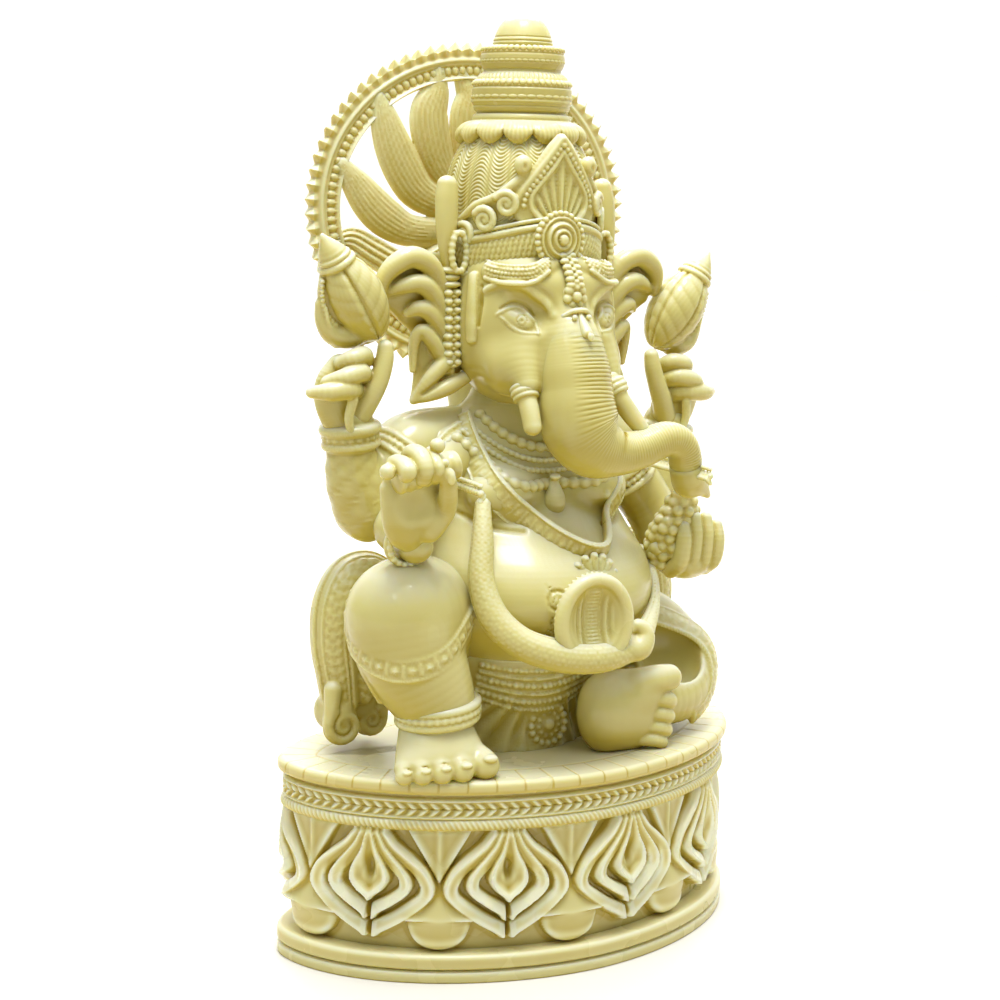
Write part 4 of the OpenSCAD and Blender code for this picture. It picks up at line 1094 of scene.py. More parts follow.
@made("left_leg")
def left_leg():
    clay = Clay([4, -34, 64], [76, 32, 120], 0.5)
    clay.tube([[18, 12, 99, 15], [36, 9, 99, 15.5], [50, 4, 95, 14.6], [56.5, -5, 87, 13.6]], pieces=4)
    clay.tube([[56.5, -6, 84, 14.4], [50, -15, 79.5, 12], [40, -20, 78.5, 10], [30, -22, 78, 9]],
        (0, 0, 1), 2.5, pieces=4)
    # The cloth's thick turned-back edge runs round the knee and leaves a hollow inside it
    clay.egg((44.5, -17, 92.5), (14, 12, 14.5), 1.6, cut=True)
    arc = [[33, -9, 108.5], [42, -12, 110], [52, -14.5, 106.5], [60, -16, 99], [63.5, -17, 89],
        [60, -18.5, 79], [52, -21, 72]]
    rows = curve(arc, 6)
    centre = np.array([46, 6, 90.0])
    out = unit(rows - centre)
    rows = evened(clay.land(rows + out * 8, -out, 30), 5)
    clay.cord(rows, (4.4, 1.5), lambda p: p - centre, 0.6, relief=scroll_band(4.6, 0.45, 0.5))
    clay.stand(UNDER_DECK)
    return clay.skin()


@made("left_foot")
def left_foot():
    clay = Clay([-2, -42, 62], [52, -12, 102], 0.4)
    # The broad sole faces forward and stands on the deck, with the toes at the idol's left
    clay.tube([[13.5, -26.6, 77.8, 7.6, 12.4], [16, -27.4, 78, 7.8, 13.2], [20, -28, 78, 7.6, 13.6],
        [26.5, -28.6, 77.4, 6.2, 13], [30.5, -28.4, 76.6, 4.8, 11.4]], (0, 0, 1), pieces=4)
    clay.egg((13.2, -26.4, 77.6), (8.2, 7.2, 12.2), 4)
    clay.egg((25.5, -32.4, 84.5), (7.5, 3.4, 5.4), 3)
    clay.tube([[24, -31, 87.4, 4.8], [30.5, -32.2, 88.2, 4.6], [35.2, -31.8, 88.0, 4.4]], blend=1.2,
        pieces=3)
    for x, z, r in ((35.0, 80.6, 2.9), (34.6, 75.5, 2.7), (34.0, 71.0, 2.5), (32.4, 67.0, 2.4)):
        clay.tube([[x - 8, -31.4, z + 1.6, r], [x - 3, -33.2, z + 1, r], [x, -32.6, z - 0.2, r],
            [x + 0.6, -31.6, z - 0.9, r * 0.9]], blend=0.5, pieces=3)
    clay.stand(UNDER_DECK - 0.05, 0.4)
    return clay.skin()


# ---- head ----

def swept(rows, up, relief, pitch, columns):
    """A closed round tube along a path: rows are x, y, z and radius. relief(s, turn) is how far its skin
    stands out, s mm along it and turned that far from the side that faces up."""
    rows = spaced(curve(rows, 8), pitch * COARSER)
    p, s = rows[:, :3], along(rows)
    run = unit(np.gradient(p, axis=0))
    side = unit(np.cross(run, np.asarray(up, float)))
    rise = np.cross(side, run)
    turn = np.linspace(-np.pi, np.pi, int(columns / COARSER), endpoint=False)
    d = relief(s[:, None], turn[None, :]) + np.zeros((len(s), len(turn)))
    ends = [share(q / rows[e, 3]) for q, e in ((s, 0), (s[-1] - s, -1))]
    r = (rows[:, 3] * np.sqrt(1 - (1 - ends[0]) ** 2) * np.sqrt(1 - (1 - ends[1]) ** 2))[:, None] + d
    rings = (p[:, None] + rise[:, None] * (r * np.cos(turn))[..., None]
        + side[:, None] * (r * np.sin(turn))[..., None])
    fresh = d * 2.2
    return sleeve(rings, fresh)


TRUNK = [[0, -14, 211, 6.2], [0, -18.4, 205.6, 7.4], [0, -21.4, 197.8, 10.1], [0, -23.2, 189.6, 11.9],
    [0, -24.8, 183, 12.1], [0, -26.3, 177.1, 12.4], [1.5, -27.8, 170.3, 12.3], [6, -29.2, 165.4, 10.4],
    [14, -30.5, 163.4, 7.4], [21, -31.6, 164.2, 6.2], [31, -32.2, 167.1, 5.7], [37.4, -32.0, 164, 5.4],
    [41, -30.3, 154.5, 5.6], [43, -28.6, 148.7, 5.6]]


@made("trunk")
def trunk():
    def rings(s, turn):
        # Fine rings over the front and the idol's left side; the right flank is smooth
        front = share((0.62 - turn) / 0.5) * share((turn + 2.5) / 0.5)
        coarse = share((46 - s) / 8)
        step = (-0.24 * coarse * bell((s / 1.36) % 1 - 0.5, 0.22)
            - 0.14 * (1 - coarse) * bell((s / 0.9) % 1 - 0.5, 0.25))
        fold = -0.6 * bell(s - 55 + 2.5 * turn, 1.1) * bell(turn + 1.7, 0.8)
        return front * share((s - 3) / 3) * step * share((97 - s) / 6) + fold
    points, faces, fresh = swept(TRUNK[:-1], (0, -0.9, -0.4), rings, 0.23, 150)
    # The tip's upper lip runs out to a point
    clay = Clay([32, -40, 136], [56, -16, 162], 0.3)
    clay.tube([[40.2, -30.6, 157, 5.4], [41.6, -29.8, 153.5, 5.4], [42.2, -29.2, 151.8, 5.0]], pieces=4)
    clay.tube([[42.8, -30, 153.2, 4.7], [46.2, -30, 150.6, 3.2], [50, -29.6, 147.4, 1.2]], blend=2.5,
        pieces=4)
    tip, quads, hollows = clay.skin()
    points = np.vstack([points + [0, 0, LIFT], tip])
    return points, faces + [quads[0] + len(fresh)], np.concatenate([fresh, hollows])


@made("head")
def head():
    clay = Clay([-32, -40, 172], [32, 28, 230], 0.36)
    clay.stack([[0, 3, 177, 12, 11], [0, 1, 181, 19, 17.5], [0, -0.5, 187, 24, 22],
        [0, -0.5, 194, 26.2, 23.6], [0, 0, 203, 26.8, 24], [0, 1, 211, 26.4, 24],
        [0, 2.5, 218, 25.4, 23.4], [0, 5, 224, 23.5, 21], [0, 7, 228, 20, 18]])
    for s in (-1, 1):
        def side(rows):
            return np.array(rows, float) * [-s, 1, 1]
        out = unit([s * 0.6, -0.8, 0.0])
        def onto(rows, lift=0.0):
            """The rows on the skin of this side of the face, or that far off it."""
            rows = curve(side(rows), 6)
            return evened(clay.land(rows + out * 9, -out, 30)) + out * lift
        # Two domes of the forehead, cheek, and the sheath from which the tusk grows
        clay.egg((s * 9.5, -13.0, 216.2), (9.6, 7.6, 5.8), 3.5)
        clay.egg((s * 15.5, -11.5, 190), (9, 8.5, 9), 5)
        clay.tube([[s * 12.5, -14, 197, 6.2], [s * 14.6, -18.5, 190, 5.2], [s * 15.4, -21.0, 185.5, 4.2]],
            blend=4, pieces=4)
        # The eye lies in a broad hollow under the brow, deepest beside the trunk
        clay.egg((s * 13.6, -21.8, 208.2), (9.6, 4.4, 6.6), 2.6, cut=True,
            tilt=[[1, s * 0.75, 0.12 * s], [-s * 0.75, 1, 0], [-0.12 * s, 0, 1]])
        brow = onto([[-23.8, -7.2, 213.4], [-21.7, -10.5, 215.4], [-18.9, -13.7, 216.2],
            [-15.2, -17.2, 215.8], [-12.0, -19.7, 212.9], [-9.3, -21.7, 210.0], [-7.6, -22.6, 206.8]],
            lift=0.2)
        clay.cord(brow, 0.5 + 1.0 * np.sin(np.linspace(0.2, np.pi - 0.4, len(brow))), blend=1.3)
        long_way = unit([-s * 8.8, -7.7, -5.1])
        outward = unit(out - long_way * (out @ long_way))
        clay.egg(np.array([s * 16.4, -15.2, 204.8]), (6.0, 3.3, 3.5), 0.7,
            tilt=[long_way, outward, np.cross(long_way, outward)])
        upper = onto([[-22.4, -13.0, 206.4], [-20.4, -14.9, 208.1], [-18.6, -16.7, 208.7],
            [-16.6, -18.1, 208.2], [-14.7, -19.0, 206.6], [-13.3, -20.7, 204.3], [-11.8, -21.4, 200.9]],
            lift=0.15)
        clay.cord(upper, 0.3 + 0.55 * np.sin(np.linspace(0.2, np.pi - 0.2, len(upper))), blend=0.35)
        fold = onto([[-21.6, -13.8, 208.4], [-18.6, -16.2, 210.4], [-15.4, -18.9, 209.2],
            [-13.2, -20, 206.2]])
        clay.cord(fold, 0.35, blend=0.5, cut=True)
        lower = onto([[-21.2, -13.6, 206.0], [-19.8, -15.7, 204.2], [-18.7, -17.2, 202.6],
            [-16.2, -18.6, 201.2], [-12.6, -21.2, 201.1]], lift=0.05)
        clay.cord(lower, 0.25 + 0.4 * np.sin(np.linspace(0.2, np.pi - 0.2, len(lower))), blend=0.35)
        # Iris and pupil
        ball = onto([[-16.4, -18.7, 205.0], [-16.4, -18.7, 204.9]])[0]
        across = unit(np.cross(out, [0, 0, 1]))
        iris = ball + circle(20, 1.6, across, [0, 0, 1])
        clay.cord(clay.land(iris + out * 5, -out, 20), 0.2, blend=0.25, cut=True)
        clay.egg(ball + out * 0.2, 0.6, 0.3, cut=True)
        # Mouth corner under the tusk
        clay.tube([[s * 8, -8, 181, 1.2], [s * 13, -12, 180.2, 1.0], [s * 17.5, -10, 182.0, 0.6]],
            blend=1.6, cut=True)
        # Lock in front of the ear, hooked at its end, with a slit beside it
        lock = onto([[-24.9, -3.0, 218.0], [-25.5, -3.7, 211.3], [-26.0, -4.1, 205.2],
            [-26.1, -4.6, 198.2]], lift=0.2)
        clay.tube(np.c_[lock, np.interp(np.linspace(0, 1, len(lock)), [0, 0.8, 1], [2.1, 2.5, 2.3]),
            np.full(len(lock), 1.5)], lambda p: p * [1, 0.4, 0], 0.3, pieces=1)
        slit = onto([[-24.3, -7.0, 215.0], [-24.7, -7.4, 209.5], [-25.2, -7.3, 202.6]])
        clay.cord(slit, np.interp(np.linspace(0, 1, len(slit)), [0, 0.5, 1], [0.6, 1.0, 0.5]), blend=0.5,
            cut=True)
        # A shelf of beads bulges over the forehead under the crown, with a plain rim below
        shelf = onto([[-22.7, -7.4, 219.6], [-21.2, -9.5, 219.4], [-18.3, -12.7, 219.2],
            [-14.7, -16.1, 219.4], [-11.5, -17.2, 219.8], [-7.5, -17.7, 221.2], [-4.6, -17, 223]])
        clay.tube(np.c_[shelf, np.full(len(shelf), 3.0), np.full(len(shelf), 1.7)], tuple(out), 0.7,
            pieces=1)
        rim = onto([[-22.8, -7.1, 217.6], [-21.6, -10.2, 216.8], [-18.9, -13.6, 216.4],
            [-15.0, -16.7, 216.4], [-12.1, -18.2, 216.8], [-9.5, -18.6, 218.2], [-6.3, -18.1, 220.2]],
            lift=0.3)
        clay.cord(rim, 0.85, blend=0.4)
        for dz in (1.5, 2.8, 4.1, 5.3):
            row = clay.land(rim + out * 5 + [0, 0, dz], -out, 20)
            clay.beads(row, 0.62, 1.25, 0.15)
    # The trunk's root, so that the cheeks run into it
    clay.tube([[x, y, z, r - 0.35] for x, y, z, r in TRUNK[:6]], (0, -0.9, -0.4), 2.4, pieces=6)
    return clay.skin()


def tusk(rows, collar):
    """A tusk with a ringed collar: collar is its middle, its direction and its radius."""
    rows = np.array(rows, float)
    clay = Clay(rows[:, :3].min(0) - 8, rows[:, :3].max(0) + 8, 0.33)
    clay.tube(rows, pieces=5)
    centre, aim, radius = collar
    aim = unit(aim)
    side = unit(np.cross(aim, [0, 1, 0]))
    for t, grow, thick in ((-1.6, 0.4, 1.0), (0.1, 0.5, 1.0), (1.7, 0.1, 0.75)):
        ring = np.array(centre) + aim * t + circle(28, radius + grow - thick, side, np.cross(side, aim))
        clay.cord(ring, thick, blend=0.25)
    clay.tube([[*(np.array(centre) - aim * 3), radius - 0.8],
        [*(np.array(centre) + aim * 1.6), radius - 0.8]], blend=0.3, pieces=1)
    return clay.skin()


@made("right_tusk")
def right_tusk():
    rows = [[-15.8, -18, 187.5, 3.0], [-16, -20.8, 182.8, 3.0], [-16.1, -23.6, 178, 3.1],
        [-16.2, -26, 172.6, 2.9]]
    return tusk(rows, ((-16, -20.8, 182.6), (-0.02, -0.52, -0.85), 4.2))


@made("left_tusk")
def left_tusk():
    rows = [[14.4, -20.5, 188, 3.1], [15.6, -25, 182, 3.1], [19.2, -27.6, 175.6, 3.0],
        [22.4, -30, 170.6, 2.6]]
    return tusk(rows, ((15.4, -24.4, 183.2), (0.3, -0.5, -0.82), 4.1))


@made("forehead_jewel", "ornament_resin")
def forehead_jewel():
    clay = Clay([-9, -38, 192], [9, -12, 230], 0.3)
    # A chain of bead pairs comes down from the crown to a flower, with a drop at the root of the trunk
    for k, z in enumerate(np.linspace(225, 216, 6)):
        y = -17.4 - 6.2 * math.sin((226 - z) / 11 * math.pi / 2)
        for s in (-1, 1):
            clay.egg((s * 1.75, y, z), (1.5, 1.5, 1.05), 0.2)
        clay.egg((0, y - 0.5, z - 0.8), (1.2, 1.2, 0.8), 0.2)
    y, z = -23.2, 212.4
    for k in range(7):
        a = TURN * k / 7
        clay.egg((2.9 * math.sin(a), y - 0.4, z + 2.9 * math.cos(a)), (1.55, 1.4, 1.55), 0.2)
    clay.egg((0, y - 1.3, z), (1.7, 1.4, 1.7), 0.2)
    clay.egg((0, y + 1.4, z), (4, 2.4, 4), 0.3)
    # Teardrop on the trunk with small knobs round it
    clay.tube([[0, -26.2, 207.0, 1.0], [0, -28.4, 204, 1.6], [0, -30.6, 201.4, 1.9]], blend=0.3, pieces=3)
    clay.egg((0, -33.0, 200.6), (1.1, 0.8, 1.3), 0.2)
    clay.tube([[-4.9, -24.4, 206.4, 0.8], [-2, -26.6, 208.2, 0.9], [2, -26.6, 208.2, 0.9],
        [4.9, -24.4, 206.4, 0.8]], blend=0.3)
    for s in (-1, 1):
        for x, y2, z in ((5.0, -25.4, 204.0), (4.6, -29.4, 198.4), (2.6, -27.6, 206.2)):
            clay.egg((s * x, y2, z), 0.95, 0.2)
    return clay.skin()


# ---- ears and tassels, made for the idol's right and mirrored for its left ----

@made_pair("right_ear", "left_ear")
def ear():
    clay = Clay([-58, -2, 168], [-18, 22, 230], 0.42)
    # The flap: a broad leaf that narrows to a pointed lobe
    clay.tube([[-24, 10, 212, 12, 3.0], [-33, 10, 211.5, 13.5, 3.2], [-42, 9.6, 213.5, 10.5, 3.0],
        [-49, 9, 214, 6.5, 2.4]], (0, -1, 0), 0.4, pieces=4)
    clay.tube([[-29, 10, 206, 3.0, 11.5], [-29.6, 9.6, 196, 3.2, 10.4], [-31.4, 9, 188, 3.0, 8.6],
        [-35.6, 8.2, 182, 2.2, 5.0], [-40, 7.6, 178.2, 1.2, 1.4]], (1, 0, 0), 1.2, pieces=4)
    # Rolled rim and ridges, like heavy cloth, arching from the ear's edge down to the tassel
    for row in ([[-27, 6.4, 207, 2.4], [-31.8, 5.2, 214.5, 2.8], [-36.5, 4.4, 221, 3.3],
            [-43, 4.2, 223.6, 3.5], [-48.6, 4.8, 221.2, 3.3], [-52, 5.8, 217, 2.6],
            [-52.6, 7, 211.5, 1.8]],
            [[-28, 5.6, 200, 1.9], [-31.8, 4.8, 206.5, 2.4], [-35.8, 4.0, 212.4, 2.9],
            [-40.4, 3.6, 215.4, 3.0], [-45.4, 4.6, 214.6, 2.5], [-49.4, 6.2, 212.6, 1.2]],
            [[-28, 5.6, 195, 1.8], [-31.8, 4.8, 200.9, 2.3], [-36, 4.2, 205.8, 2.7],
            [-39.8, 4.4, 207.6, 2.6], [-43.2, 6.2, 205.8, 1.3]],
            [[-28, 5.6, 187.6, 1.8], [-31.6, 5.0, 192.6, 2.2], [-35.6, 4.6, 197.8, 2.5],
            [-38.8, 5.2, 200.4, 2.3], [-40.6, 6.6, 196, 1.7], [-40.4, 7.6, 188, 1.1]]):
        clay.tube(row, blend=1.2)
    # Folds at the lobe
    clay.tube([[-25, 4.8, 193.5, 2.0], [-30, 4.4, 190.6, 2.7], [-36, 4.8, 184.8, 2.3],
        [-40.4, 6.6, 178.8, 0.9]], blend=0.9)
    clay.tube([[-22.5, 4.6, 185.4, 2.2], [-30, 4.2, 182.2, 2.7], [-36, 5, 179.8, 2.0],
        [-40.6, 6.8, 178, 0.9]], blend=0.9)
    clay.tube([[-25, 2.4, 189, 0.8], [-32, 2.2, 185, 0.8], [-38.4, 4.2, 180.4, 0.5]], blend=0.8, cut=True)
    return clay.skin()


@made_pair("right_tassel", "left_tassel", "ornament_resin")
def tassel():
    clay = Clay([-38, -4, 183], [-22, 14, 255], 0.32)
    # Smooth plume beside the crown's band, with a beaded loop under it
    clay.tube([[-29.4, 6.5, 246, 3.4, 3.0], [-29.8, 6.0, 241.5, 3.8, 3.2], [-30.2, 5.2, 234, 3.6, 3.0],
        [-30.2, 4.6, 227, 2.9, 2.6], [-30, 4.4, 221, 1.6, 1.6]], (0, -1, 0))
    t = np.linspace(0, TURN, 24)
    loop = np.stack([-27.6 + 2.7 * np.cos(t), 1.4 + 0 * t, 225.2 + 6.2 * np.sin(t)], 1)
    clay.cord(loop, 0.9, blend=0.4)
    clay.beads(loop, 1.15, 2.0, 0.2)
    for z, r in ((219.4, 3.9), (217.2, 3.6), (215.0, 3.9)):
        clay.egg((-29.2, 4.4, z), (r, r * 0.85, 1.3), 0.25)
    # Chain of stacked bead rows hanging in front of the ear
    z = 212.4
    while z > 188:
        w = 3.2 - 0.02 * (214 - z)
        for dx in (-1, 1):
            clay.egg((-29.0 + dx * 1.55 + (214 - z) * 0.02, 3.6, z), (1.75, 2.6, 1.35), 0.25)
        clay.egg((-29.0 + (214 - z) * 0.02, 4.2, z - 1.2), (w, 2.4, 0.8), 0.2)
        z -= 2.75
    clay.tube([[-29, 6, 222, 2.4], [-28.6, 6, 205, 2.4], [-28.4, 6, 188, 2.2]], blend=0.3)
    return clay.skin()


# ---- arms ----

RIGHT_RAISE = np.array([0, 0, 3.5])
LEFT_SHIFT = np.array([4, 0, -2.0])


def bracelet(clay, centre, aim, r, rows, squash=1.0):
    """Rings and bead rows round a wrist: rows are distance along aim, thickness, and whether it is
    beads."""
    aim = unit(aim)
    side = unit(np.cross(aim, [0.1, 1, 0]))
    rise = np.cross(side, aim)
    for d, size, beaded in rows:
        ring = np.array(centre, float) + aim * d + circle(36, r, side, rise, squash)
        clay.cord(ring, size * (0.7 if beaded else 1), blend=0.3)
        if beaded:
            clay.beads(ring, size, size * 1.9, 0.2)


@made_pair("rear_right_arm", "rear_left_arm", right=(RIGHT_RAISE,), left=(LEFT_SHIFT,))
def rear_arm(shift):
    """The idol's right rear arm, with its wrist moved by shift."""
    clay = Clay([-78, -8, 130], [-16, 30, 182], 0.5)
    up = np.asarray(shift, float)
    clay.tube([[-22, 14, 163, 12], [-38, 13, 161, 12.5], [-48.5, 11.4, 152.5, 11.6],
        [-54.5, 9.6, 145, 10.6]], pieces=4)
    elbow = np.array([-55.4, 9, 144.4])
    wrist = np.array([-62.5, 7, 160.5]) + up
    hatch = lambda s, u, v: 0.22 * wave(s / 1.7 + 0.9 * np.arctan2(u, v)) * (0.6
        + 0.4 * np.cos(2.6 * s + u))
    clay.tube([[*elbow, 10.6], [*(elbow * 0.5 + wrist * 0.5 + [-1.4, 0, 0]), 9.2], [*wrist, 7.4]],
        (0, -1, 0), 2, relief=hatch, pieces=4)
    # Sleeve bands round the upper arm and a flared bracelet at the wrist
    bracelet(clay, [-40.5, 12.6, 159.6], [-0.72, -0.1, -0.66], 12.2,
        ((0, 1.2, 0), (2.6, 1.2, 1), (5.2, 1.2, 0)))
    bracelet(clay, wrist + [0.1, 0, 1.6], [-0.1, -0.05, 1], 8.0,
        ((0, 1.5, 0), (2.4, 1.3, 1), (5.0, 2.0, 0)), 0.92)
    clay.tube([[*(wrist + [0, 0, 2]), 7.8], [*(wrist + [-0.4, 0, 8]), 7.6]], blend=0.6, pieces=2)
    return clay.skin()


@made_pair("rear_right_hand", "rear_left_hand", right=(RIGHT_RAISE,), left=(np.array([6, 0, -2.0]),))
def rear_hand(shift):
    """The idol's right rear hand: palm forward, the first finger up under the shell and the others
    curled."""
    clay = Clay(np.array([-84, -12, 164]) + shift, np.array([-48, 16, 204]) + shift, 0.36)
    def at(rows):
        rows = np.array(rows, float)
        rows[:, :3] += shift
        return rows
    clay.tube(at([[-64.2, 6, 168, 6.6, 5.4], [-66.4, 5.4, 174, 8.4, 4.8], [-67.4, 5, 180, 8.6, 4.4],
        [-65, 4.8, 186, 6.6, 4.0]]), (0, 1, 0), pieces=4)
    # First finger stands up beside the shell's foot
    clay.tube(at([[-61.6, 2.6, 171.5, 3.5], [-58.4, 1, 178, 3.4], [-56, 0.4, 183, 3.1],
        [-54.3, 0.6, 188.5, 2.9], [-53.8, 1, 192.4, 2.5]]), blend=1.0, pieces=4)
    # The other three curl inwards, one above the other
    for row in ([[-59.4, 3, 188.6, 2.5], [-62, 0, 190.4, 2.8], [-66, -1, 189.6, 2.8],
            [-69, 1.5, 188, 2.3]], [[-60.4, 2.4, 184, 2.7], [-64, -1.6, 185.2, 3.1],
            [-69, -2.2, 183.8, 3.1], [-73.4, 1, 182, 2.5]],
            [[-63.4, 2, 179.4, 2.7], [-68, -2.2, 180.2, 3.2], [-74, -2, 179.6, 2.9],
            [-79, 1, 179.4, 1.9]]):
        clay.tube(at(row), blend=0.5, pieces=4)
    clay.tube(at([[-66, -0.5, 166, 1.2], [-67.4, -1.2, 171, 1.5], [-66.6, -2.4, 177, 1.6]]), blend=0.6,
        pieces=4)
    return clay.skin()


@made_pair("right_conch", "left_conch", right=(RIGHT_RAISE,), left=(np.array([2, 0, -2.0]),))
def conch(shift):
    """Whorled shell with leaf ribs, a ringed cone on top and its lip curled out at the side."""
    clay = Clay(np.array([-86, -12, 192]) + shift, np.array([-46, 20, 232]) + shift, 0.34)
    foot, head = np.array([-56.6, 5.4, 199.0]) + shift, np.array([-68.8, 4.3, 218.0]) + shift
    aim = unit(head - foot)
    front = unit([-0.25, -1.0, -0.1])
    front = unit(front - aim * (front @ aim))
    side = np.cross(aim, front)
    out = -side if side[0] > 0 else side
    length = np.linalg.norm(head - foot)
    t = np.linspace(0, 1, 14)
    rows = np.c_[foot + np.outer(t * length, aim), 8.6 * np.sin(np.pi * (0.15 + 0.76 * t)) ** 0.75]
    def leaf(s, u, v):
        # Ribs slant away from a middle vein in front, and from another behind
        w = np.arctan2(u, np.abs(v))
        return (0.6 * wave(s / 3.1 - 0.9 * np.abs(w)) * share(np.abs(w) * 5) - 0.55 * bell(w, 0.07)
            - 0.6 * bell(np.abs(w) - 1.3, 0.08))
    clay.tube(rows, front, relief=leaf, pieces=2)
    # The cone: rings that shrink to a smooth point
    for d, r, thick in ((0.6, 6.3, 1.2), (2.6, 5.5, 0.9), (4.2, 4.5, 0.8), (5.7, 3.6, 0.7)):
        ring = head + aim * d + circle(30, r - thick, side, front)
        clay.cord(ring, thick, blend=0.2)
    clay.tube(np.c_[head + np.outer([-1, 0.4, 2.4, 5, 8, 10.4], aim), [4.6, 5.2, 4.8, 3.6, 1.9, 0.7]],
        blend=0.2)
    # Band of small beads beside the leaf, and the lip that curls up at the outer side
    band = head - aim * 1.5 + out * 5.4
    rows = np.array([band, band - aim * 5 + out * 2.6, band - aim * 10 + out * 3.6,
        band - aim * 14 + out * 2.8])
    clay.tube(np.c_[rows, [1.8, 2.4, 2.4, 2.0]], blend=0.6)
    for dy in (-1.2, 1.0):
        clay.beads(curve(rows + out * 1.6 + front * (2.0 + dy * 0.6) + aim * 0.1, 6), 0.75, 1.5, 0.25)
    lip = np.array([foot + aim * 0.5 + out * 3, foot + aim * 1.2 + out * 8, foot + aim * 4.4 + out * 11.6,
        foot + aim * 9.5 + out * 12.2, foot + aim * 14.4 + out * 10.6])
    clay.tube(np.c_[lip, [4.2, 4.2, 3.6, 2.6, 1.7], [4.6, 5.2, 4.6, 3.2, 2.0]], front, 0.9)
    clay.tube(np.c_[lip[2:] - out * 0.6 + front * 3.4 - aim * 0.8, [0.7, 0.6, 0.4]], blend=0.5)
    for k in range(5):
        clay.egg(lip[0] + out * (2.2 * k + 0.5) - aim * (3.6 - 0.25 * k * k) + front * 1.0, 1.3, 0.8)
    return clay.skin()


@made("front_right_arm")
def front_right_arm():
    clay = Clay([-66, -30, 126], [-20, 18, 174], 0.45)
    clay.tube([[-28, 5, 159, 9.6], [-38, 1.6, 153.5, 9.2], [-46.4, -1, 146, 8.2], [-51, -4, 139.6, 7.6]],
        pieces=4)
    clay.tube([[-51, -4, 139.4, 7.6], [-52, -11, 137.4, 6.6], [-53.4, -19, 136.8, 5.6]], blend=1.6,
        pieces=4)
    return clay.skin()


@made("front_right_hand")
def front_right_hand():
    clay = Clay([-78, -44, 128], [-38, -10, 176], 0.34)
    clay.tube([[-56.4, -20.6, 139.6, 4.6, 4.4], [-57.4, -22.6, 142.8, 8.0, 4.6],
        [-57.8, -24.4, 147, 9.8, 4.8], [-58.2, -25, 152, 10.4, 4.6], [-59.4, -25, 158, 9.8, 4]],
        (0, 1, 0), pieces=4)
    # Ball of the thumb, hollow of the palm
    clay.egg((-52.4, -26.4, 146.4), (4.8, 3.4, 6.6), 2.4, tilt=[[1, 0, 0.35], [0, 1, 0], [-0.35, 0, 1]])
    clay.egg((-60.4, -32.8, 150), (6.4, 4.2, 6.4), 2.2, cut=True)
    # The fingers curl over the stick in a row, with the little finger's end at the side
    for x, low, high, r in ((-65.2, 161.6, 163.8, 2.9), (-59.6, 160.4, 166.2, 3.1),
            (-55.4, 160.8, 165.2, 2.6)):
        clay.tube([[x + 0.4, -25, 157, r], [x, -26.5, high - 0.6, r], [x, -31.4, high + 0.2, r * 1.04],
            [x, -34.8, (low + high) / 2, r], [x + 0.2, -33.8, low, r * 0.92]], blend=0.5, pieces=4)
    clay.egg((-70.1, -31.6, 162.4), (2.4, 2.5, 2.5), 0.6)
    clay.tube([[-67.8, -28.5, 162.6, 2.2], [-70, -31, 162.4, 2.1]], blend=0.5, pieces=1)
    # Beads of the stick's cord stand over the first finger
    clay.tube([[-54, -27.5, 163, 1.6], [-53.8, -31.6, 169.2, 1.3]], blend=0.5, pieces=1)
    clay.egg((-53.8, -32.4, 169.4), 2.35, 0.3)
    clay.egg((-52.6, -35.2, 164.6), 1.2, 0.3)
    # Thumb presses against the stick from below
    clay.tube([[-52.4, -25.4, 142.4, 3.8], [-48.4, -28, 148.6, 3.4], [-49.6, -32, 155, 2.9],
        [-51.6, -34.8, 160.6, 2.5]], blend=1.2, pieces=4)
    clay.egg((-51.2, -36.9, 159.6), (1.4, 0.7, 1.9), 0.3)
    bracelet(clay, [-55.6, -17.2, 137.4], [-0.1, -0.9, -0.12], 6.2, ((0, 1.2, 0), (2.2, 1.1, 1)))
    return clay.skin()


@made("tusk_piece")
def tusk_piece():
    lo, hi = box_mm("tusk_piece")
    mid = (lo + hi) / 2 - [0, 0, LIFT]
    clay = Clay(lo - [2, 2, 2 + LIFT], hi + [2, 2, 2 - LIFT], 0.3)
    aim = np.array([math.cos(math.radians(10)), 0, math.sin(math.radians(10))])
    ends = [mid - aim * 9.4, mid, mid + aim * 10.2]
    clay.tube([[*ends[0], 4.5], [*ends[1], 4.4], [*ends[2], 4.5]], pieces=3,
        relief=lambda s, u, v: 0.12 * np.cos(s * 2.1), bulge=0.35)
    return clay.skin()


@made("front_left_arm")
def front_left_arm():
    clay = Clay([20, -24, 114], [68, 20, 172], 0.45)
    clay.tube([[28, 5, 159, 10], [40, 4.4, 151.5, 9.6], [48.6, 2.4, 140.5, 9.0], [52.6, -1.6, 131, 8.6]],
        pieces=4)
    clay.tube([[52.6, -1.2, 130.4, 8.4], [51.8, -6, 127.6, 7.4], [50.6, -11, 126, 6.2]], blend=1.6,
        pieces=4)
    bracelet(clay, [38.6, 4.2, 151.8], [0.55, -0.12, -0.83], 9.6,
        ((0, 1.2, 0), (2.4, 1.1, 1), (4.8, 1.2, 0)))
    bracelet(clay, [51.4, -7.4, 127.2], [-0.2, -0.95, -0.2], 7.0, ((0, 1.2, 0), (2.0, 1.0, 1)))
    return clay.skin()


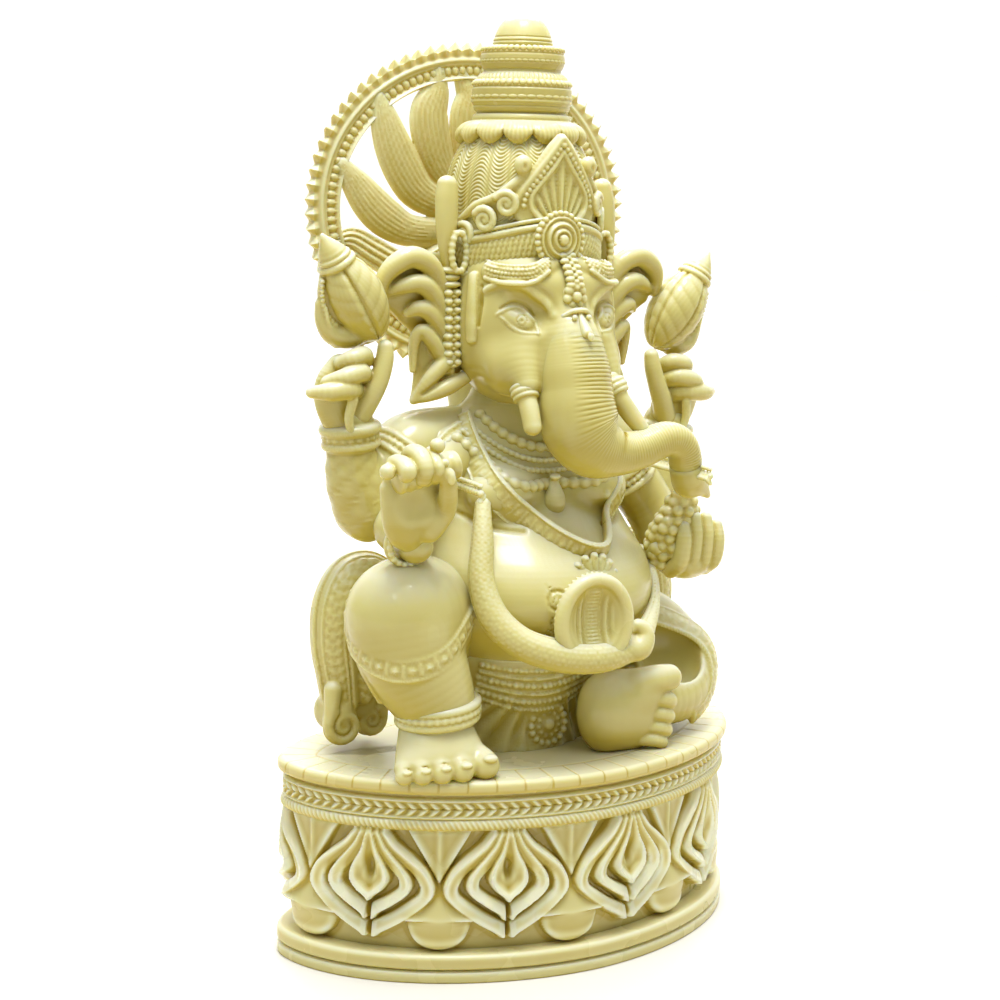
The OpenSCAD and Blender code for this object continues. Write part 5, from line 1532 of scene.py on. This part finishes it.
@made("front_left_hand")
def front_left_hand():
    clay = Clay([34, -34, 112], [70, 0, 146], 0.36)
    clay.tube([[50, -8, 124.4, 6, 4.6], [50.6, -12, 122.4, 8.6, 4.8], [52.4, -17.4, 121.8, 9.6, 4.8],
        [53.2, -20, 123, 9.4, 4.6]], pieces=4)
    for k in range(4):
        x = 45.0 + 4.55 * k
        top = (2.0, 4.6, 4.0, 1.2)[k]
        clay.tube([[x - 0.4, -18.5, 120.8, 2.9], [x, -22.8, 124.4, 3.0],
            [x + 0.3, -24.2, 130.4 + top * 0.5, 2.7], [x + 0.5, -23.4, 134.4 + top, 2.1]], blend=0.5,
            pieces=4)
    clay.tube([[45.4, -9, 124, 3.6], [41, -13, 125.6, 3.2], [39.6, -17.5, 128.6, 2.7]], blend=1.2,
        pieces=4)
    return clay.skin()


@made("sweet_heap", "ornament_resin")
def sweet_heap():
    clay = Clay([32, -34, 116], [66, -4, 154], 0.4)
    clay.stack([[46.5, -14, 121, 6, 4.6], [46.4, -15.5, 127, 8.2, 6], [46.6, -16.5, 134, 8.2, 6.4],
        [46.8, -18.5, 140.5, 6.2, 5.4], [46.4, -21.5, 146.5, 2.8, 2.6]])
    rng = np.random.default_rng(5)
    for z, w, n in ((123, 7.0, 12), (126, 7.6, 13), (129, 7.9, 14), (132, 7.9, 14), (135, 7.5, 13),
            (138, 6.7, 12), (141, 5.6, 10), (144, 4.0, 7), (146.4, 2.2, 4)):
        for k in range(n):
            a = TURN * (k + 0.5 * (int(z) % 2)) / n
            q = rng.uniform(-0.4, 0.4, 3)
            clay.egg((46.4 + (z - 128) * 0.02 + w * math.cos(a) + q[0],
                -15.4 - (z - 128) * 0.28 + 0.8 * w * math.sin(a) + q[1], z + q[2]), 1.9, 0.6)
    return clay.skin()


# ---- looks ----

# What makes resin paler: facing up, as painted light from above, standing proud, as painted shade that
# darkens the hollows, and the clouds in it, on top of a level for all of it
PAINTED_TOP_LIGHT = 0.55
PAINTED_HOLLOW_SHADE = 0.55
CLOUD_SHARE = 0.16
LEVEL = 0.13
MIDDLE_AT = 0.42
PALE_AT = 0.78
CLOUD_SCALE = 38
PIT_SCALE = 900
PIT_DEPTH = 0.0002
SOFT_EDGE = math.radians(60)


def cast_resin(name, pale, middle, deep, gloss, grain):
    """Glossy cast resin with faint clouds and fine pits. Its colour holds painted light and shade: creamy
    where it stands proud and on tops, yellow-olive in the hollows and on undersides."""
    mat = bpy.data.materials.new(name)
    mat.use_nodes = True
    tree = mat.node_tree
    shader = tree.nodes["Principled BSDF"]
    node, link = tree.nodes.new, tree.links.new

    def noise(scale, detail):
        made_noise = node("ShaderNodeTexNoise")
        made_noise.inputs["Scale"].default_value = scale
        made_noise.inputs["Detail"].default_value = detail
        link(place.outputs["Object"], made_noise.inputs["Vector"])
        return made_noise.outputs["Fac"]

    def times_plus(value, factor, more):
        maths = node("ShaderNodeMath")
        maths.operation = "MULTIPLY_ADD"
        link(value, maths.inputs[0])
        maths.inputs[1].default_value = factor
        if isinstance(more, float):
            maths.inputs[2].default_value = more
        else:
            link(more, maths.inputs[2])
        return maths.outputs[0]

    place = node("ShaderNodeTexCoord")
    hollow = node("ShaderNodeAttribute")
    hollow.attribute_name = "hollow"
    # Painted light and shade: tops are painted paler than undersides as if lit from above, and hollows
    # are painted darker than edges as shade
    normal = node("ShaderNodeNewGeometry")
    parts = node("ShaderNodeSeparateXYZ")
    link(normal.outputs["Normal"], parts.inputs["Vector"])
    clouds = noise(CLOUD_SCALE, 3)
    level = times_plus(parts.outputs["Z"], PAINTED_TOP_LIGHT, LEVEL)
    level = times_plus(hollow.outputs["Fac"], PAINTED_HOLLOW_SHADE, level)
    level = times_plus(clouds, CLOUD_SHARE, level)
    ramp = node("ShaderNodeValToRGB")
    stops = ramp.color_ramp.elements
    stops[0].position, stops[0].color = 0.0, (*deep, 1)
    stops[1].position, stops[1].color = PALE_AT, (*pale, 1)
    stops.new(MIDDLE_AT).color = (*middle, 1)
    link(level, ramp.inputs["Fac"])
    link(ramp.outputs["Color"], shader.inputs["Base Color"])
    bump = node("ShaderNodeBump")
    bump.inputs["Strength"].default_value = grain
    bump.inputs["Distance"].default_value = PIT_DEPTH
    link(noise(PIT_SCALE, 2), bump.inputs["Height"])
    link(bump.outputs["Normal"], shader.inputs["Normal"])
    rough = node("ShaderNodeMapRange")
    rough.inputs["To Min"].default_value = gloss - 0.05
    rough.inputs["To Max"].default_value = gloss + 0.09
    link(clouds, rough.inputs["Value"])
    link(rough.outputs["Result"], shader.inputs["Roughness"])
    shader.inputs["IOR"].default_value = 1.5
    shader.inputs["Subsurface Weight"].default_value = 0.4
    shader.inputs["Subsurface Radius"].default_value = (1.0, 0.75, 0.25)
    shader.inputs["Subsurface Scale"].default_value = 0.004
    return mat


LOOKS = {look[0]: cast_resin(*look) for look in (
    ("body_resin", (0.92, 0.93, 0.70), (0.75, 0.695, 0.29), (0.50, 0.39, 0.055), 0.17, 0.06),
    ("ornament_resin", (0.92, 0.93, 0.70), (0.76, 0.705, 0.30), (0.51, 0.40, 0.06), 0.25, 0.1),
    ("plinth_resin", (0.92, 0.92, 0.68), (0.79, 0.73, 0.34), (0.58, 0.45, 0.08), 0.25, 0.1),
    ("halo_resin", (0.92, 0.93, 0.70), (0.84, 0.81, 0.45), (0.60, 0.48, 0.10), 0.26, 0.1))}


def add_piece(name, nodes, slot, points, faces, hollow):
    """The piece's mesh in the scene, tied to the frame."""
    mesh = bpy.data.meshes.new(name)
    mesh.vertices.add(len(points))
    mesh.vertices.foreach_set("co", (points * MM).astype(np.float32).ravel())
    corners = np.concatenate([f.ravel() for f in faces]).astype(np.int32)
    sizes = np.concatenate([np.full(len(f), f.shape[1]) for f in faces])
    mesh.loops.add(len(corners))
    mesh.loops.foreach_set("vertex_index", corners)
    mesh.polygons.add(len(sizes))
    mesh.polygons.foreach_set("loop_start", np.concatenate([[0], np.cumsum(sizes)[:-1]]).astype(np.int32))
    mesh.update(calc_edges=True)
    mesh.polygons.foreach_set("use_smooth", np.ones(len(sizes), bool))
    mesh.set_sharp_from_angle(angle=SOFT_EDGE)
    # How proud each point stands, which the resin's colour uses for painted shade in its hollows
    mesh.attributes.new("hollow", "FLOAT", "POINT").data.foreach_set("value", hollow.astype(np.float32))
    mesh.materials.append(LOOKS[slot])
    piece = bpy.data.objects.new(name, mesh)
    bpy.context.scene.collection.objects.link(piece)
    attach(piece, "root")
    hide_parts(*nodes)


def build(job):
    """A job's points and faces, mirrored if it is the left one of a pair."""
    name, nodes, slot, maker, mirror = job
    points, faces, hollow = maker()
    if mirror:
        points = points * [-1, 1, 1]
        faces = [f[:, ::-1] for f in faces]
    return name, nodes, slot, points, faces, hollow


with ThreadPoolExecutor(4) as pool:
    for built in pool.map(build, jobs):
        add_piece(*built)

# ---- stage ----

scene = bpy.context.scene
FRONT_LIGHT = 0.03
CEILING_LIGHT = 1.6
BACKDROP_LIGHT = 1.14
# The way from the camera to the backdrop behind the idol
BACKDROP = (0.53, 0.848, 0)
FLOOR_HALF = 3.0
FLOOR_WHITE = (0.88, 0.88, 0.87, 1)
LIGHT_WHITE = (1, 0.985, 0.95, 1)
floor_mesh = bpy.data.meshes.new("floor")
corners = [(x * FLOOR_HALF, y * FLOOR_HALF, 0) for x, y in ((-1, -1), (1, -1), (1, 1), (-1, 1))]
floor_mesh.from_pydata(corners, [], [(0, 1, 2, 3)])
floor = bpy.data.objects.new("floor", floor_mesh)
scene.collection.objects.link(floor)
paper = bpy.data.materials.new("floor_paper")
paper.use_nodes = True
paper_shader = paper.node_tree.nodes["Principled BSDF"]
paper_shader.inputs["Base Color"].default_value = FLOOR_WHITE
paper_shader.inputs["Roughness"].default_value = 0.7
floor_mesh.materials.append(paper)

# The studio light is a soft white ceiling over a white backdrop; it falls off towards the front and warms
# a little.
world = bpy.data.worlds.new("studio")
world.use_nodes = True
sky = world.node_tree
sky_place = sky.nodes.new("ShaderNodeTexCoord")


def glow(direction, start, end, low, high):
    """Strength that rises from low to high as the sky direction turns towards the given one."""
    dot = sky.nodes.new("ShaderNodeVectorMath")
    dot.operation = "DOT_PRODUCT"
    dot.inputs[1].default_value = direction
    sky.links.new(sky_place.outputs["Generated"], dot.inputs[0])
    part = sky.nodes.new("ShaderNodeMapRange")
    part.interpolation_type = "SMOOTHSTEP"
    for key, value in zip(("From Min", "From Max", "To Min", "To Max"), (start, end, low, high)):
        part.inputs[key].default_value = value
    sky.links.new(dot.outputs["Value"], part.inputs["Value"])
    return part.outputs["Result"]


brighter = sky.nodes.new("ShaderNodeMath")
sky.links.new(glow((0, 0, 1), 0.4, 0.95, FRONT_LIGHT, CEILING_LIGHT), brighter.inputs[0])
sky.links.new(glow(BACKDROP, 0.3, 0.8, 0, BACKDROP_LIGHT - FRONT_LIGHT), brighter.inputs[1])
sky.links.new(brighter.outputs[0], sky.nodes["Background"].inputs["Strength"])
sky.nodes["Background"].inputs["Color"].default_value = LIGHT_WHITE
scene.world = world
scene.view_settings.view_transform = "Standard"


def lamp(name, place, aim, size, power):
    """A square soft light of that size in metres and power in watts."""
    light = bpy.data.lights.new(name, "AREA")
    light.size, light.energy = size, power
    thing = bpy.data.objects.new(name, light)
    thing.location = place
    thing.rotation_euler = (Vector(aim) - Vector(place)).to_track_quat("-Z", "Y").to_euler()
    scene.collection.objects.link(thing)


lamp("overhead", (-0.08, -0.16, 1.0), (0, 0, 0.15), 0.3, 4.8)
lamp("key", (-0.75, -0.5, 1.1), (0, 0, 0.13), 0.16, 0.6)
lamp("backdrop", (0.9, 1.5, 1.7), (1.0, 1.7, 0), 1.6, 28)

# The camera stands where the photograph was taken from, by the plinth's outline
CAMERA_PLACE = (-0.34974, -0.54846, 0.25)
CAMERA_LENS = 72.4
CAMERA_SHIFT = -0.0117
LOOK_RIGHT = math.radians(32)
LOOK_DOWN = math.radians(9.22)
CAMERA_ROLL = math.radians(1.25)
camera_data = bpy.data.cameras.new("camera")
camera_data.lens = CAMERA_LENS
camera_data.sensor_width = 36
camera_data.shift_x = CAMERA_SHIFT
camera = bpy.data.objects.new("camera", camera_data)
turned_right = Matrix.Rotation(-LOOK_RIGHT, 4, "Z")
tipped = Matrix.Rotation(math.pi / 2 - LOOK_DOWN, 4, "X")
rolled = Matrix.Rotation(CAMERA_ROLL, 4, "Z")
camera.matrix_world = Matrix.Translation(CAMERA_PLACE) @ turned_right @ tipped @ rolled
scene.collection.objects.link(camera)
scene.camera = camera
